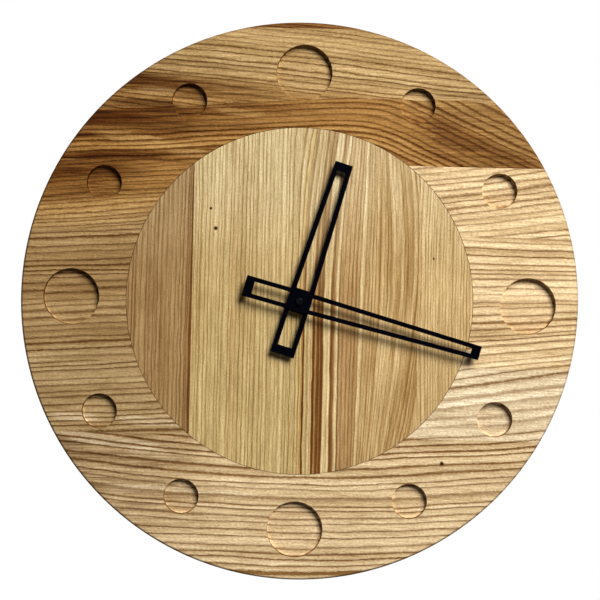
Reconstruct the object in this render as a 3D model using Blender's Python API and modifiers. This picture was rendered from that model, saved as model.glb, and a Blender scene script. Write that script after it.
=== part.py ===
"""A round wall clock of oiled ash boards, with a quartz movement in its back.

A ring of edge-glued level boards lies round a flush centre panel of upright boards. Twelve flat round
recesses in the ring mark the hours, the large ones at 12, 3, 6 and 9. Two open black hands turn on the
movement's tubes. The movement hangs in a pocket in the back: a step motor drives a train of toothed
wheels, and a keyhole plate over a cavity in the top of the ring holds the clock on a wall screw.

Metres, +Z up to 12 o'clock. The dial faces -Y and the wall lies at +Y. The origin is on the axis of the
hands, halfway through the thickness of the boards. A positive turn about +Y is clockwise on the dial.
"""

from math import cos, pi, radians, sin, tan

import bmesh
import bpy
from mathutils import Matrix, Vector

# Driving dimensions of the wooden dial, in metres
DIAL_DIAMETER = 0.350
DIAL_THICKNESS = 0.022
RING_WIDTH = 0.066
CENTRE_JOINT = 0.0003
FRONT_EDGE_RADIUS = 0.0015
BACK_EDGE_RADIUS = 0.0010
HOUR_RECESS_DIAMETER = 0.035
SMALL_RECESS_DIAMETER = 0.022
RECESS_DEPTH = 0.004
RECESS_MARGIN = 0.0142
WEB_THICKNESS = 0.004
POCKET_CLEARANCE = 0.0010
SHAFT_HOLE_CLEARANCE = 0.0003
# Heights of the glue joints in the ring, as shares of the dial's radius, from the top down
RING_JOINT_SHARES = (0.978, 0.4926, 0.2434, -0.2263, -0.4857)
# Places of the upright glue joints in the centre panel, as shares of its radius, from the left
CENTRE_JOINT_SHARES = (-0.620, 0.6835)

# Hands: reach and tail from the axis, widths of the frame, its bars and the block round the hole
HAND_THICKNESS = 0.0008
HAND_FIT = 0.00005
MINUTE_REACH = 0.117
MINUTE_TAIL = 0.0357
MINUTE_WIDTH = 0.0133
MINUTE_TIP_WIDTH = 0.0088
MINUTE_BAR = 0.0028
HOUR_REACH = 0.0903
HOUR_TAIL = 0.0353
HOUR_WIDTH = 0.01525
HOUR_TIP_WIDTH = 0.0114
HOUR_BAR = 0.00305
HAND_END_BAR = 0.0056
HAND_HUB = 0.015
MINUTE_ANGLE = radians(104.9)
HOUR_ANGLE = radians(16.8)

# Movement case; its width follows the battery and the train
CASE_DEPTH = 0.0156
CASE_CORNER = 0.003
CASE_WALL = 0.0014
CAVITY_CORNER = 0.0005
CASE_FLOOR = 0.0012
BAY_FLOOR = 0.0008
PARTITION = 0.0010
COVER_THICKNESS = 0.0012
COVER_RIM_WIDTH = 0.0008
COVER_RIM_HEIGHT = 0.0008
GASKET_THICKNESS = 0.0007
GASKET_RADIUS = 0.010
BUSH_RADIUS = 0.0039
BUSH_PROUD = 0.0006
WASHER_RADIUS = 0.0068
WASHER_THICKNESS = 0.0006
NUT_ACROSS_FLATS = 0.011
NUT_THICKNESS = 0.0022
THREAD_CLEARANCE = 0.0001

# Coaxial tubes on the dial's axis
HOUR_TUBE_RADIUS = 0.0025
MINUTE_TUBE_RADIUS = 0.00175
MINUTE_SPIGOT_RADIUS = 0.0015
HAND_GAP = 0.0006
TUBE_PROUD = 0.0005
CAP_NUT_RADIUS = 0.0023
CAP_NUT_HEIGHT = 0.0026
CAP_NUT_TOP = 0.0007
CAP_NUT_ROUND = 0.0009
ARBOR_RADIUS = 0.0006
PIVOT_RADIUS = 0.0004
RUNNING_CLEARANCE = 0.00008

# Gear train: teeth, and the distances and directions (from +X towards +Z) between the axes
MINUTE_WHEEL_TEETH = 45
THIRD_PINION_TEETH = 6
THIRD_WHEEL_TEETH = 48
SECONDS_PINION_TEETH = 6
SECONDS_WHEEL_TEETH = 40
REDUCTION_PINION_TEETH = 8
REDUCTION_WHEEL_TEETH = 36
ROTOR_PINION_TEETH = 6
CANNON_PINION_TEETH = 9
MOTION_WHEEL_TEETH = 27
MOTION_PINION_TEETH = 8
HOUR_WHEEL_TEETH = 32
KNOB_PINION_TEETH = 9
THIRD_DISTANCE = 0.0108
REDUCTION_DISTANCE = 0.0090
ROTOR_DISTANCE = 0.0070
MOTION_DISTANCE = 0.0096
THIRD_DIRECTION = radians(125)
REDUCTION_DIRECTION = radians(20)
ROTOR_DIRECTION = radians(10)
MOTION_DIRECTION = radians(180)
KNOB_DIRECTION = radians(165)
WHEEL_THICKNESS = 0.0008
LAYER_GAP = 0.0005
AXIAL_PLAY = 0.0003
TOOTH_OVERLAP = 0.0002
# A flank's points: place from the pitch circle and half width of the tooth, in modules
WHEEL_FLANK_SHARES = ((-1.30, 1.14), (0.92, 0.24))
PINION_FLANK_SHARES = ((-1.35, 0.50), (0.0, 0.56), (0.62, 0.24))

# Plates, posts and bosses inside the case
PLATE_THICKNESS = 0.0008
BRIDGE_THICKNESS = 0.0010
PLATE_INSET = 0.0004
POST_RADIUS = 0.0018
POST_NECK_RADIUS = 0.0012
POST_PIN_RADIUS = 0.0007
BOSS_RADIUS = 0.0011
STUD_RADIUS = 0.0005
PLAY_IN_HOLE = 0.0001
SHAFT_PASSAGE = 0.0003
BRIDGE_CORNER = 0.0015
# Places of the posts round the train, as shares of the third wheel's distance from the dial's axis
BRIDGE_POST_SHARES = ((1.296, -0.741), (-1.759, -0.694), (-1.806, 1.157), (1.157, 1.148))
# Places on the circuit board, as shares of its width and height
BOARD_POST_SHARES = ((0.111, 0.724), (0.877, 0.739))
CHIP_SHARES = (0.362, 0.459)
CRYSTAL_SHARES = (0.691, 0.306)

# Step motor
MAGNET_RADIUS = 0.0027
MAGNET_LENGTH = 0.0022
ROTOR_SLEEVE_RADIUS = 0.0011
AIR_GAP = 0.0004
STATOR_THICKNESS = 0.0008
STATOR_LOBE_RADIUS = 0.0052
STATOR_LEG_WIDTH = 0.0028
COIL_DROP = 0.0066
COIL_LENGTH = 0.0146
COIL_CORE_WIDTH = 0.0024
COIL_CORE_THICKNESS = 0.0008
BOBBIN_FLANGE_RADIUS = 0.0042
BOBBIN_FLANGE_THICKNESS = 0.0008
BOBBIN_TUBE_RADIUS = 0.0019
BOBBIN_BORE_RADIUS = 0.0014
WINDING_RADIUS = 0.0038

# Circuit board, battery and contacts
BOARD_WIDTH = 0.0243
BOARD_HEIGHT = 0.0098
BOARD_MARGIN = 0.0008
BOARD_THICKNESS = 0.0010
CHIP_RADIUS = 0.0026
CHIP_HEIGHT = 0.0010
CRYSTAL_RADIUS = 0.0010
CRYSTAL_LENGTH = 0.006
CELL_RADIUS = 0.0071
CELL_LENGTH = 0.0495
CELL_NUB_RADIUS = 0.00275
CELL_NUB_LENGTH = 0.0010
CELL_EDGE = 0.0005
CONTACT_THICKNESS = 0.0003
CONTACT_WIDTH = 0.0030
CONTACT_GAP = 0.0002
CONTACT_BOW = 0.0013
CONTACT_HOOK = 0.0035
SLOT_WIDTH = 0.0008

# Setting knob
KNOB_RADIUS = 0.0055
KNOB_HEAD_DEPTH = 0.0024
KNOB_PROUD = 0.0014
KNOB_COLLAR_RADIUS = 0.0062
KNOB_COLLAR_THICKNESS = 0.0008
KNOB_SHAFT_RADIUS = 0.0015
KNOB_FLUTES = 18
KNOB_FLUTE_DEPTH = 0.0004

# Keyhole hanger in the back of the ring
HANGER_LENGTH = 0.040
HANGER_WIDTH = 0.014
HANGER_THICKNESS = 0.0015
KEYHOLE_RADIUS = 0.0045
KEYHOLE_DROP = 0.004
KEYHOLE_SLOT_WIDTH = 0.005
KEYHOLE_SLOT_RISE = 0.005
HANGER_CAVITY_DEPTH = 0.0065
HANGER_CAVITY_MARGIN = 0.0010
HANGER_SCREW_SPACING = 0.031
SCREW_RADIUS = 0.0016
SCREW_HEAD_RADIUS = 0.0033
SCREW_LENGTH = 0.012
SCREW_TIP = 0.0025
SCREW_SLOT_WIDTH = 0.0007
SCREW_SLOT_DEPTH = 0.0008
PILOT_CLEARANCE = 0.0001

# Overrun of every cutter, sink of every joined piece, and the resting gap between pieces
OVERRUN = 0.002
SINK = 0.0002
REST_GAP = 0.0003
WELD_DISTANCE = 0.000001

# Facets
RIM_STEPS = 72
FRONT_EDGE_STEPS = 2
BACK_EDGE_STEPS = 1
RECESS_STEPS = 32
TUBE_STEPS = 24
COIL_STEPS = 16
SMALL_STEPS = 12
FILLET_STEPS = 3
SHARP_ANGLE = radians(32)

# Places along the dial's axis, front to back
FRONT_Y = -DIAL_THICKNESS / 2
BACK_Y = DIAL_THICKNESS / 2
POCKET_FLOOR_Y = FRONT_Y + WEB_THICKNESS
CASE_FRONT_Y = POCKET_FLOOR_Y + GASKET_THICKNESS
CASE_INNER_Y = CASE_FRONT_Y + CASE_FLOOR
CASE_BACK_Y = CASE_FRONT_Y + CASE_DEPTH
COVER_INNER_Y = CASE_BACK_Y - COVER_THICKNESS
WASHER_FRONT_Y = FRONT_Y - WASHER_THICKNESS
NUT_FRONT_Y = WASHER_FRONT_Y - NUT_THICKNESS
BUSH_FRONT_Y = NUT_FRONT_Y - BUSH_PROUD
HOUR_HAND_BACK_Y = BUSH_FRONT_Y - HAND_GAP
HOUR_HAND_FRONT_Y = HOUR_HAND_BACK_Y - HAND_THICKNESS
HOUR_TUBE_FRONT_Y = HOUR_HAND_FRONT_Y - TUBE_PROUD
MINUTE_HAND_BACK_Y = HOUR_TUBE_FRONT_Y - HAND_GAP
MINUTE_HAND_FRONT_Y = MINUTE_HAND_BACK_Y - HAND_THICKNESS
CAP_NUT_FRONT_Y = MINUTE_HAND_FRONT_Y - CAP_NUT_HEIGHT
SPIGOT_FRONT_Y = CAP_NUT_FRONT_Y + CAP_NUT_TOP + REST_GAP
SECONDS_FRONT_Y = MINUTE_HAND_FRONT_Y

HOUR_WHEEL_Y = CASE_INNER_Y + AXIAL_PLAY
MOTION_WHEEL_Y = HOUR_WHEEL_Y + WHEEL_THICKNESS + LAYER_GAP
MINUTE_WHEEL_Y = MOTION_WHEEL_Y + WHEEL_THICKNESS + STUD_RADIUS + AXIAL_PLAY
MINUTE_ARBOR_BACK_Y = MINUTE_WHEEL_Y + WHEEL_THICKNESS + AXIAL_PLAY
MIDDLE_PLATE_Y = MINUTE_ARBOR_BACK_Y + AXIAL_PLAY
STATOR_Y = MIDDLE_PLATE_Y + PLATE_THICKNESS
CORE_Y = STATOR_Y + STATOR_THICKNESS
THIRD_WHEEL_Y = MIDDLE_PLATE_Y + PLATE_THICKNESS + LAYER_GAP
SECONDS_WHEEL_Y = THIRD_WHEEL_Y + WHEEL_THICKNESS + LAYER_GAP + AXIAL_PLAY
REDUCTION_WHEEL_Y = SECONDS_WHEEL_Y + WHEEL_THICKNESS + LAYER_GAP
BRIDGE_Y = REDUCTION_WHEEL_Y + WHEEL_THICKNESS + LAYER_GAP + AXIAL_PLAY
BRIDGE_BACK_Y = BRIDGE_Y + BRIDGE_THICKNESS
BOARD_Y = THIRD_WHEEL_Y + WHEEL_THICKNESS + LAYER_GAP + AXIAL_PLAY
CONTACT_Y = BOARD_Y
HANGER_FLOOR_Y = BACK_Y - HANGER_THICKNESS
HANGER_CAVITY_Y = BACK_Y - HANGER_CAVITY_DEPTH


def along(start, distance, direction):
    """The point at this distance and direction from the start, in the plane of the dial."""
    return (start[0] + distance * cos(direction), start[1] + distance * sin(direction))


# Radii across the dial
DIAL_RADIUS = DIAL_DIAMETER / 2
CENTRE_RADIUS = DIAL_RADIUS - RING_WIDTH
HANGER_Z = DIAL_RADIUS - RING_WIDTH / 2

# Modules of the gear pairs, and the axes of the train as (x, z)
MINUTE_MODULE = 2 * THIRD_DISTANCE / (MINUTE_WHEEL_TEETH + THIRD_PINION_TEETH)
THIRD_MODULE = 2 * THIRD_DISTANCE / (THIRD_WHEEL_TEETH + SECONDS_PINION_TEETH)
SECONDS_MODULE = 2 * REDUCTION_DISTANCE / (SECONDS_WHEEL_TEETH + REDUCTION_PINION_TEETH)
REDUCTION_MODULE = 2 * ROTOR_DISTANCE / (REDUCTION_WHEEL_TEETH + ROTOR_PINION_TEETH)
MOTION_MODULE = 2 * MOTION_DISTANCE / (MOTION_WHEEL_TEETH + CANNON_PINION_TEETH)
HOUR_MODULE = 2 * MOTION_DISTANCE / (HOUR_WHEEL_TEETH + MOTION_PINION_TEETH)
KNOB_DISTANCE = MOTION_MODULE * (MOTION_WHEEL_TEETH + KNOB_PINION_TEETH) / 2
DIAL_AXIS = (0.0, 0.0)
THIRD_AXIS = along(DIAL_AXIS, THIRD_DISTANCE, THIRD_DIRECTION)
REDUCTION_AXIS = along(DIAL_AXIS, REDUCTION_DISTANCE, REDUCTION_DIRECTION)
ROTOR_AXIS = along(REDUCTION_AXIS, ROTOR_DISTANCE, ROTOR_DIRECTION)
MOTION_AXIS = along(DIAL_AXIS, MOTION_DISTANCE, MOTION_DIRECTION)
KNOB_AXIS = along(MOTION_AXIS, KNOB_DISTANCE, KNOB_DIRECTION)
BRIDGE_POSTS = [(x * THIRD_DISTANCE, z * THIRD_DISTANCE) for x, z in BRIDGE_POST_SHARES]

# The case is square, as wide as the battery with its contacts, the train above the bay or the knob need
BAY_HEIGHT = CELL_RADIUS * 2 + REST_GAP * 2
CELL_ROOM = CELL_LENGTH + CELL_NUB_LENGTH + CONTACT_BOW + CONTACT_THICKNESS * 2 + CONTACT_GAP * 4
MINUTE_WHEEL_REACH = MINUTE_MODULE * (MINUTE_WHEEL_TEETH / 2 + WHEEL_FLANK_SHARES[-1][0]) + REST_GAP
KNOB_REACH = KNOB_COLLAR_RADIUS - KNOB_AXIS[0] + REST_GAP
CAVITY_HALF = max(CELL_ROOM / 2, BAY_HEIGHT + PARTITION + MINUTE_WHEEL_REACH, KNOB_REACH)
CASE_HALF = CAVITY_HALF + CASE_WALL
BAY_TOP = BAY_HEIGHT - CAVITY_HALF
TRAIN_BOTTOM = BAY_TOP + PARTITION
CELL_Z = REST_GAP + CELL_RADIUS - CAVITY_HALF
CELL_Y = CASE_FRONT_Y + BAY_FLOOR + REST_GAP + CELL_RADIUS

# The circuit board and the coil hang in the upper corners of the case
BOARD_LEFT = BOARD_MARGIN - CAVITY_HALF
BOARD_RIGHT = BOARD_LEFT + BOARD_WIDTH
BOARD_TOP = CAVITY_HALF - BOARD_MARGIN
BOARD_BOTTOM = BOARD_TOP - BOARD_HEIGHT
COIL_Z = CAVITY_HALF - COIL_DROP
COIL_RIGHT = CAVITY_HALF - PLATE_INSET - STATOR_LEG_WIDTH - AIR_GAP * 2
COIL_LEFT = COIL_RIGHT - COIL_LENGTH

parts = None
cutters = None


def on_board(shares):
    """The place at these shares of the circuit board's width and height, from its lower left corner."""
    return (BOARD_LEFT + shares[0] * BOARD_WIDTH, BOARD_BOTTOM + shares[1] * BOARD_HEIGHT)


BOARD_POSTS = [on_board(shares) for shares in BOARD_POST_SHARES]


def clear_scene():
    for thing in list(bpy.data.objects):
        bpy.data.objects.remove(thing, do_unlink=True)


def collection(name, hidden=False):
    made = bpy.data.collections.new(name)
    bpy.context.scene.collection.children.link(made)
    made.hide_render = hidden
    return made


def material(name, colour, roughness, metallic=0.0):
    made = bpy.data.materials.get(name)
    if made is None:
        made = bpy.data.materials.new(name)
        made.use_nodes = True
        shader = made.node_tree.nodes["Principled BSDF"]
        shader.inputs["Base Color"].default_value = (*colour, 1.0)
        shader.inputs["Roughness"].default_value = roughness
        shader.inputs["Metallic"].default_value = metallic
        made.diffuse_color = (*colour, 1.0)
    return made


def ash():
    return material("oiled_ash", (0.52, 0.35, 0.17), 0.55)


def black_paint():
    return material("black_paint", (0.012, 0.012, 0.013), 0.45)


def brass():
    return material("brass", (0.78, 0.58, 0.25), 0.3, 1.0)


def steel():
    return material("plated_steel", (0.62, 0.62, 0.64), 0.3, 1.0)


def black_plastic():
    return material("black_plastic", (0.02, 0.02, 0.022), 0.5)


def white_plastic():
    return material("white_plastic", (0.85, 0.85, 0.82), 0.4)


def rubber():
    return material("rubber", (0.03, 0.03, 0.03), 0.8)


def magnet_grey():
    return material("magnet", (0.12, 0.12, 0.13), 0.5, 0.6)


def copper():
    return material("copper", (0.72, 0.35, 0.18), 0.35, 1.0)


def board_green():
    return material("board_green", (0.05, 0.22, 0.10), 0.5)


def cell_wrap():
    return material("cell_wrap", (0.10, 0.11, 0.13), 0.35)


def circle(radius, steps, centre=(0.0, 0.0)):
    return [along(centre, radius, 2 * pi * i / steps) for i in range(steps)]


def rectangle(left, right, bottom, top):
    return [(left, bottom), (right, bottom), (right, top), (left, top)]


def rounded(corners, radius):
    """The closed outline with every corner turned into an arc of this radius."""
    outline = []
    for i, point in enumerate(corners):
        corner = Vector(point)
        to_last = (Vector(corners[i - 1]) - corner).normalized()
        to_next = (Vector(corners[(i + 1) % len(corners)]) - corner).normalized()
        half = to_last.angle(to_next) / 2
        centre = corner + (to_last + to_next).normalized() * (radius / sin(half))
        start = corner + to_last * (radius / tan(half)) - centre
        end = corner + to_next * (radius / tan(half)) - centre
        sweep = start.angle_signed(end)
        for step in range(FILLET_STEPS + 1):
            outline.append(tuple(centre + Matrix.Rotation(-sweep * step / FILLET_STEPS, 2) @ start))
    return outline


def arc(centre, radius, start, end, steps):
    """Points on an arc, from one direction to the other."""
    return [along(centre, radius, start + (end - start) * i / steps) for i in range(steps + 1)]


def gear(teeth, module, phase, flank):
    """A closed outline of teeth; one tooth's middle points in the direction of the phase."""
    outline = []
    for tooth in range(teeth):
        middle = phase + 2 * pi * tooth / teeth
        for side, places in ((-1, flank), (1, flank[::-1])):
            for place, half_width in places:
                radius = teeth * module / 2 + place * module
                outline.append(along(DIAL_AXIS, radius, middle + side * half_width * module / radius))
    return outline


def meshed(teeth, phase, direction, other_teeth):
    """The phase of the gear that meshes with this one, in the direction from this one's axis to it."""
    offset = (phase - direction) % (2 * pi / teeth)
    return direction + pi + pi / other_teeth - offset * teeth / other_teeth


def place(name, mesh, group, look=None):
    solid = bpy.data.objects.new(name, mesh)
    group.objects.link(solid)
    if look is not None:
        mesh.materials.append(look)
    if group is cutters:
        solid.hide_render = True
        solid.display_type = "WIRE"
    return solid


def plate(name, outlines, front, back, axis=DIAL_AXIS, look=None, turn=0.0):
    """A flat solid between two places on Y; of its closed (x, z) outlines the inner ones are holes."""
    curve = bpy.data.curves.new(name, "CURVE")
    curve.dimensions = "2D"
    curve.fill_mode = "BOTH"
    curve.extrude = (back - front) / 2
    for outline in outlines:
        spline = curve.splines.new("POLY")
        spline.points.add(len(outline) - 1)
        spline.use_cyclic_u = True
        for point, (x, z) in zip(spline.points, outline):
            point.co = (x, z, 0, 1)
    shape = bpy.data.objects.new(name + "_outline", curve)
    bpy.context.scene.collection.objects.link(shape)
    shape.location = (axis[0], (front + back) / 2, axis[1])
    shape.rotation_euler = (pi / 2, turn, 0)
    bpy.context.view_layer.update()
    evaluated = shape.evaluated_get(bpy.context.evaluated_depsgraph_get())
    mesh = bpy.data.meshes.new_from_object(evaluated)
    mesh.name = name
    loose = bmesh.new()
    loose.from_mesh(mesh)
    bmesh.ops.remove_doubles(loose, verts=loose.verts, dist=WELD_DISTANCE)
    loose.to_mesh(mesh)
    loose.free()
    solid = place(name, mesh, cutters if look is None else parts, look)
    solid.matrix_world = shape.matrix_world.copy()
    bpy.data.objects.remove(shape)
    return solid


def turned(name, profile, axis=DIAL_AXIS, look=None, steps=TUBE_STEPS, lengthwise=None):
    """A solid of revolution. The profile's (radius, place) points run down its outer side, and it closes
    on itself unless it starts on the axis. Places count along Y from front to back, or, where
    lengthwise gives the (y, z) of an axis along X, along X from right to left."""
    mesh = bpy.data.meshes.new(name)
    turning = bmesh.new()
    sign = -1 if lengthwise is None else 1
    points = [turning.verts.new((radius, 0, sign * at)) for radius, at in profile]
    pairs = list(zip(points, points[1:]))
    if profile[0][0] > 0:
        pairs.append((points[-1], points[0]))
    for pair in pairs:
        turning.edges.new(pair)
    turning.to_mesh(mesh)
    turning.free()
    solid = place(name, mesh, cutters if look is None else parts, look)
    if lengthwise is None:
        solid.location = (axis[0], 0, axis[1])
        solid.rotation_euler = (pi / 2, 0, 0)
    else:
        solid.location = (0, *lengthwise)
        solid.rotation_euler = (0, pi / 2, 0)
    screw = solid.modifiers.new("turn", "SCREW")
    screw.steps = steps
    screw.render_steps = steps
    screw.use_merge_vertices = True
    screw.merge_threshold = WELD_DISTANCE
    screw.use_smooth_shade = False
    return solid


def cylinder(name, radius, front, back, axis=DIAL_AXIS, look=None, steps=TUBE_STEPS):
    profile = [(0, front), (radius, front), (radius, back), (0, back)]
    return turned(name, profile, axis, look, steps)


def stepped(name, front, steps_back, axis, look=None, facets=SMALL_STEPS):
    """A turned pin of (radius, back end) lengths, one behind the other."""
    profile = [(0, front)]
    at = front
    for radius, back in steps_back:
        profile += [(radius, at), (radius, back)]
        at = back
    profile.append((0, at))
    return turned(name, profile, axis, look, facets)


def box(name, x, y, z):
    """A cutting box between the pairs of places on X, Y and Z, its faces exactly at those places."""
    mesh = bpy.data.meshes.new(name)
    cube = bmesh.new()
    bmesh.ops.create_cube(cube, size=1)
    for corner in cube.verts:
        corner.co = [places[side > 0] for places, side in zip((x, y, z), corner.co)]
    cube.to_mesh(mesh)
    cube.free()
    return place(name, mesh, cutters)


def combine(solid, others, operation="DIFFERENCE"):
    """Cuts the others from the solid, or joins them to it, one after the other."""
    for other in others:
        step = solid.modifiers.new(other.name, "BOOLEAN")
        step.operation = operation
        step.solver = "EXACT"
        step.object = other
    return solid


def recess_places():
    """(hour, axis, radius) of the twelve recesses; the quarter hours are large and all keep one margin."""
    pitch_radius = DIAL_RADIUS - RECESS_MARGIN - HOUR_RECESS_DIAMETER / 2
    for hour in range(1, 13):
        radius = (SMALL_RECESS_DIAMETER if hour % 3 else HOUR_RECESS_DIAMETER) / 2
        yield hour, along(DIAL_AXIS, pitch_radius, pi / 2 - 2 * pi * hour / 12), radius


def recess_cutter(hour, axis, radius):
    """A flat-bottomed round recess."""
    steps = TUBE_STEPS if hour % 3 else RECESS_STEPS
    floor = FRONT_Y + RECESS_DEPTH
    return cylinder(f"cut_recess_{hour}", radius, FRONT_Y - OVERRUN, floor, axis, steps=steps)


def ring_profile():
    """The ring's section: flat faces, rounded outer edges, a straight inner wall."""
    front = arc((DIAL_RADIUS - FRONT_EDGE_RADIUS, FRONT_Y + FRONT_EDGE_RADIUS),
                FRONT_EDGE_RADIUS, -pi / 2, 0, FRONT_EDGE_STEPS)
    back = arc((DIAL_RADIUS - BACK_EDGE_RADIUS, BACK_Y - BACK_EDGE_RADIUS),
               BACK_EDGE_RADIUS, 0, pi / 2, BACK_EDGE_STEPS)
    return [(CENTRE_RADIUS, FRONT_Y), *front, *back, (CENTRE_RADIUS, BACK_Y)]


def ring_board(name, low, high, side, recesses):
    """The part of the ring between two joint heights, on one side of the centre panel or on both."""
    board = turned(name, ring_profile(), look=ash(), steps=RIM_STEPS)
    reach = DIAL_RADIUS + OVERRUN
    left = 0 if side > 0 else -reach
    right = 0 if side < 0 else reach
    slab = box("keep_" + name, (left, right), (FRONT_Y - OVERRUN, BACK_Y + OVERRUN), (low, high))
    combine(board, [slab], "INTERSECT")
    for cutter, (x, z), radius in recesses:
        beside = side == 0 or side * x + radius > 0
        if beside and z + radius > low and z - radius < high:
            combine(board, [cutter])
    return board


def ring_boards():
    """The level boards of the ring, from the top down; the middle three are split by the centre panel."""
    recesses = [(recess_cutter(hour, axis, radius), axis, radius) for hour, axis, radius in recess_places()]
    edge = DIAL_RADIUS + OVERRUN
    heights = [edge, *(share * DIAL_RADIUS for share in RING_JOINT_SHARES), -edge]
    names = ("crown", "top", "upper", "middle", "lower", "bottom")
    boards = {}
    for name, high, low in zip(names, heights, heights[1:]):
        split = max(abs(high), abs(low)) < CENTRE_RADIUS
        for suffix, side in (("_left", -1), ("_right", 1)) if split else (("", 0),):
            node = f"ring_board_{name}{suffix}"
            boards[node] = ring_board(node, low, high, side, recesses)
    return boards


def centre_boards():
    """The upright boards of the flush centre panel, from the left."""
    radius = CENTRE_RADIUS - CENTRE_JOINT
    edge = CENTRE_RADIUS + OVERRUN
    places = [-edge, *(share * CENTRE_RADIUS for share in CENTRE_JOINT_SHARES), edge]
    boards = {}
    for name, left, right in zip(("left", "middle", "right"), places, places[1:]):
        node = f"centre_board_{name}"
        boards[node] = cylinder(node, radius, FRONT_Y, BACK_Y, look=ash(), steps=RIM_STEPS)
        slab = box("keep_" + node, (left, right), (FRONT_Y - OVERRUN, BACK_Y + OVERRUN), (-edge, edge))
        combine(boards[node], [slab], "INTERSECT")
    return boards


def movement_pocket():
    """The square pocket behind the dial, and the hole through the web in front of it."""
    half = CASE_HALF + POCKET_CLEARANCE
    outline = rounded(rectangle(-half, half, -half, half), CASE_CORNER + POCKET_CLEARANCE)
    pocket = plate("cut_pocket", [outline], POCKET_FLOOR_Y, BACK_Y + OVERRUN)
    hole = cylinder("cut_shaft_hole", BUSH_RADIUS + SHAFT_HOLE_CLEARANCE,
                    FRONT_Y - OVERRUN, POCKET_FLOOR_Y + OVERRUN)
    return [pocket, hole]


def stadium(width, low, high):
    """An upright slot outline with round ends."""
    radius = width / 2
    top = arc((0.0, high - radius), radius, 0, pi, SMALL_STEPS // 2)
    bottom = arc((0.0, low + radius), radius, pi, 2 * pi, SMALL_STEPS // 2)
    return top + bottom


def keyhole_outline():
    """The round entry with the narrow slot above it."""
    entry = HANGER_Z - KEYHOLE_DROP
    half = KEYHOLE_SLOT_WIDTH / 2
    meeting = pi / 2 - Vector((0, KEYHOLE_RADIUS)).angle(
        Vector((half, (KEYHOLE_RADIUS ** 2 - half ** 2) ** 0.5)))
    slot = arc((0.0, HANGER_Z + KEYHOLE_SLOT_RISE), half, 0, pi, SMALL_STEPS // 2)
    bore = arc((0.0, entry), KEYHOLE_RADIUS, pi - meeting, 2 * pi + meeting, SMALL_STEPS)
    return slot + bore


def hanger_screw_heights():
    return (HANGER_Z + HANGER_SCREW_SPACING / 2, HANGER_Z - HANGER_SCREW_SPACING / 2)


def screw_profile(growth):
    """A countersunk wood screw, head at the back; growth makes the hole that it fits."""
    head_depth = SCREW_HEAD_RADIUS - SCREW_RADIUS
    tip = BACK_Y - SCREW_LENGTH - growth
    return [
        (0, tip),
        (SCREW_RADIUS + growth, tip + SCREW_TIP),
        (SCREW_RADIUS + growth, BACK_Y - head_depth - growth),
        (SCREW_HEAD_RADIUS, BACK_Y - growth * 2),
        (SCREW_HEAD_RADIUS, BACK_Y + (OVERRUN if growth else 0)),
        (0, BACK_Y + (OVERRUN if growth else 0)),
    ]


def hanger_cutters():
    """The shallow seat of the plate, the cavity that the wall screw's head rises in, and pilot holes."""
    half = HANGER_LENGTH / 2 + REST_GAP
    seat = stadium(HANGER_WIDTH + REST_GAP * 2, HANGER_Z - half, HANGER_Z + half)
    low = HANGER_Z - KEYHOLE_DROP - KEYHOLE_RADIUS - HANGER_CAVITY_MARGIN
    high = HANGER_Z + KEYHOLE_SLOT_RISE + KEYHOLE_RADIUS + HANGER_CAVITY_MARGIN
    width = (KEYHOLE_RADIUS + HANGER_CAVITY_MARGIN) * 2
    seat_cut = plate("cut_hanger_seat", [seat], HANGER_FLOOR_Y, BACK_Y + OVERRUN)
    cavity = plate("cut_hanger_cavity", [stadium(width, low, high)], HANGER_CAVITY_Y, BACK_Y + OVERRUN)
    pilots = [turned(f"cut_pilot_{i}", screw_profile(PILOT_CLEARANCE), (0.0, z), steps=SMALL_STEPS)
              for i, z in enumerate(hanger_screw_heights())]
    return [seat_cut, cavity, *pilots]


def hanger():
    """The keyhole plate, let in flush, and its two screws."""
    half = HANGER_LENGTH / 2
    body = stadium(HANGER_WIDTH, HANGER_Z - half, HANGER_Z + half)
    sheet = plate("hanger_plate", [body, keyhole_outline()], HANGER_FLOOR_Y, BACK_Y, look=steel())
    for i, (z, word) in enumerate(zip(hanger_screw_heights(), ("upper", "lower"))):
        hole = turned(f"cut_hanger_hole_{i}", screw_profile(PILOT_CLEARANCE), (0.0, z), steps=SMALL_STEPS)
        combine(sheet, [hole])
        screw = turned(f"hanger_screw_{word}", screw_profile(0), (0.0, z), steel(), SMALL_STEPS)
        reach = SCREW_HEAD_RADIUS + OVERRUN
        slot = box(f"cut_screw_slot_{i}", (-reach, reach), (BACK_Y - SCREW_SLOT_DEPTH, BACK_Y + OVERRUN),
                   (z - SCREW_SLOT_WIDTH / 2, z + SCREW_SLOT_WIDTH / 2))
        combine(screw, [slot])


def wooden_dial():
    boards = {**ring_boards(), **centre_boards()}
    combine(boards["centre_board_middle"], movement_pocket())
    combine(boards["ring_board_top"], hanger_cutters())


def hand_outlines(reach, tail, width, tip_width, bar, hole_radius):
    """A flat open frame, square behind the axis and tapering before it, with a block round its hole."""
    half, tip_half, hub = width / 2, tip_width / 2, HAND_HUB / 2
    frame = [(-half, -tail), (half, -tail), (half, 0), (tip_half, reach), (-tip_half, reach), (-half, 0)]
    narrowing = (half - tip_half) / reach
    inner = half - bar
    window_end = reach - HAND_END_BAR
    front_window = [(-inner + narrowing * hub, hub), (inner - narrowing * hub, hub),
                    (inner - narrowing * window_end, window_end),
                    (-inner + narrowing * window_end, window_end)]
    tail_window = rectangle(-inner, inner, HAND_END_BAR - tail, -hub)
    return [frame, front_window, tail_window, circle(hole_radius, TUBE_STEPS)]


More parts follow.
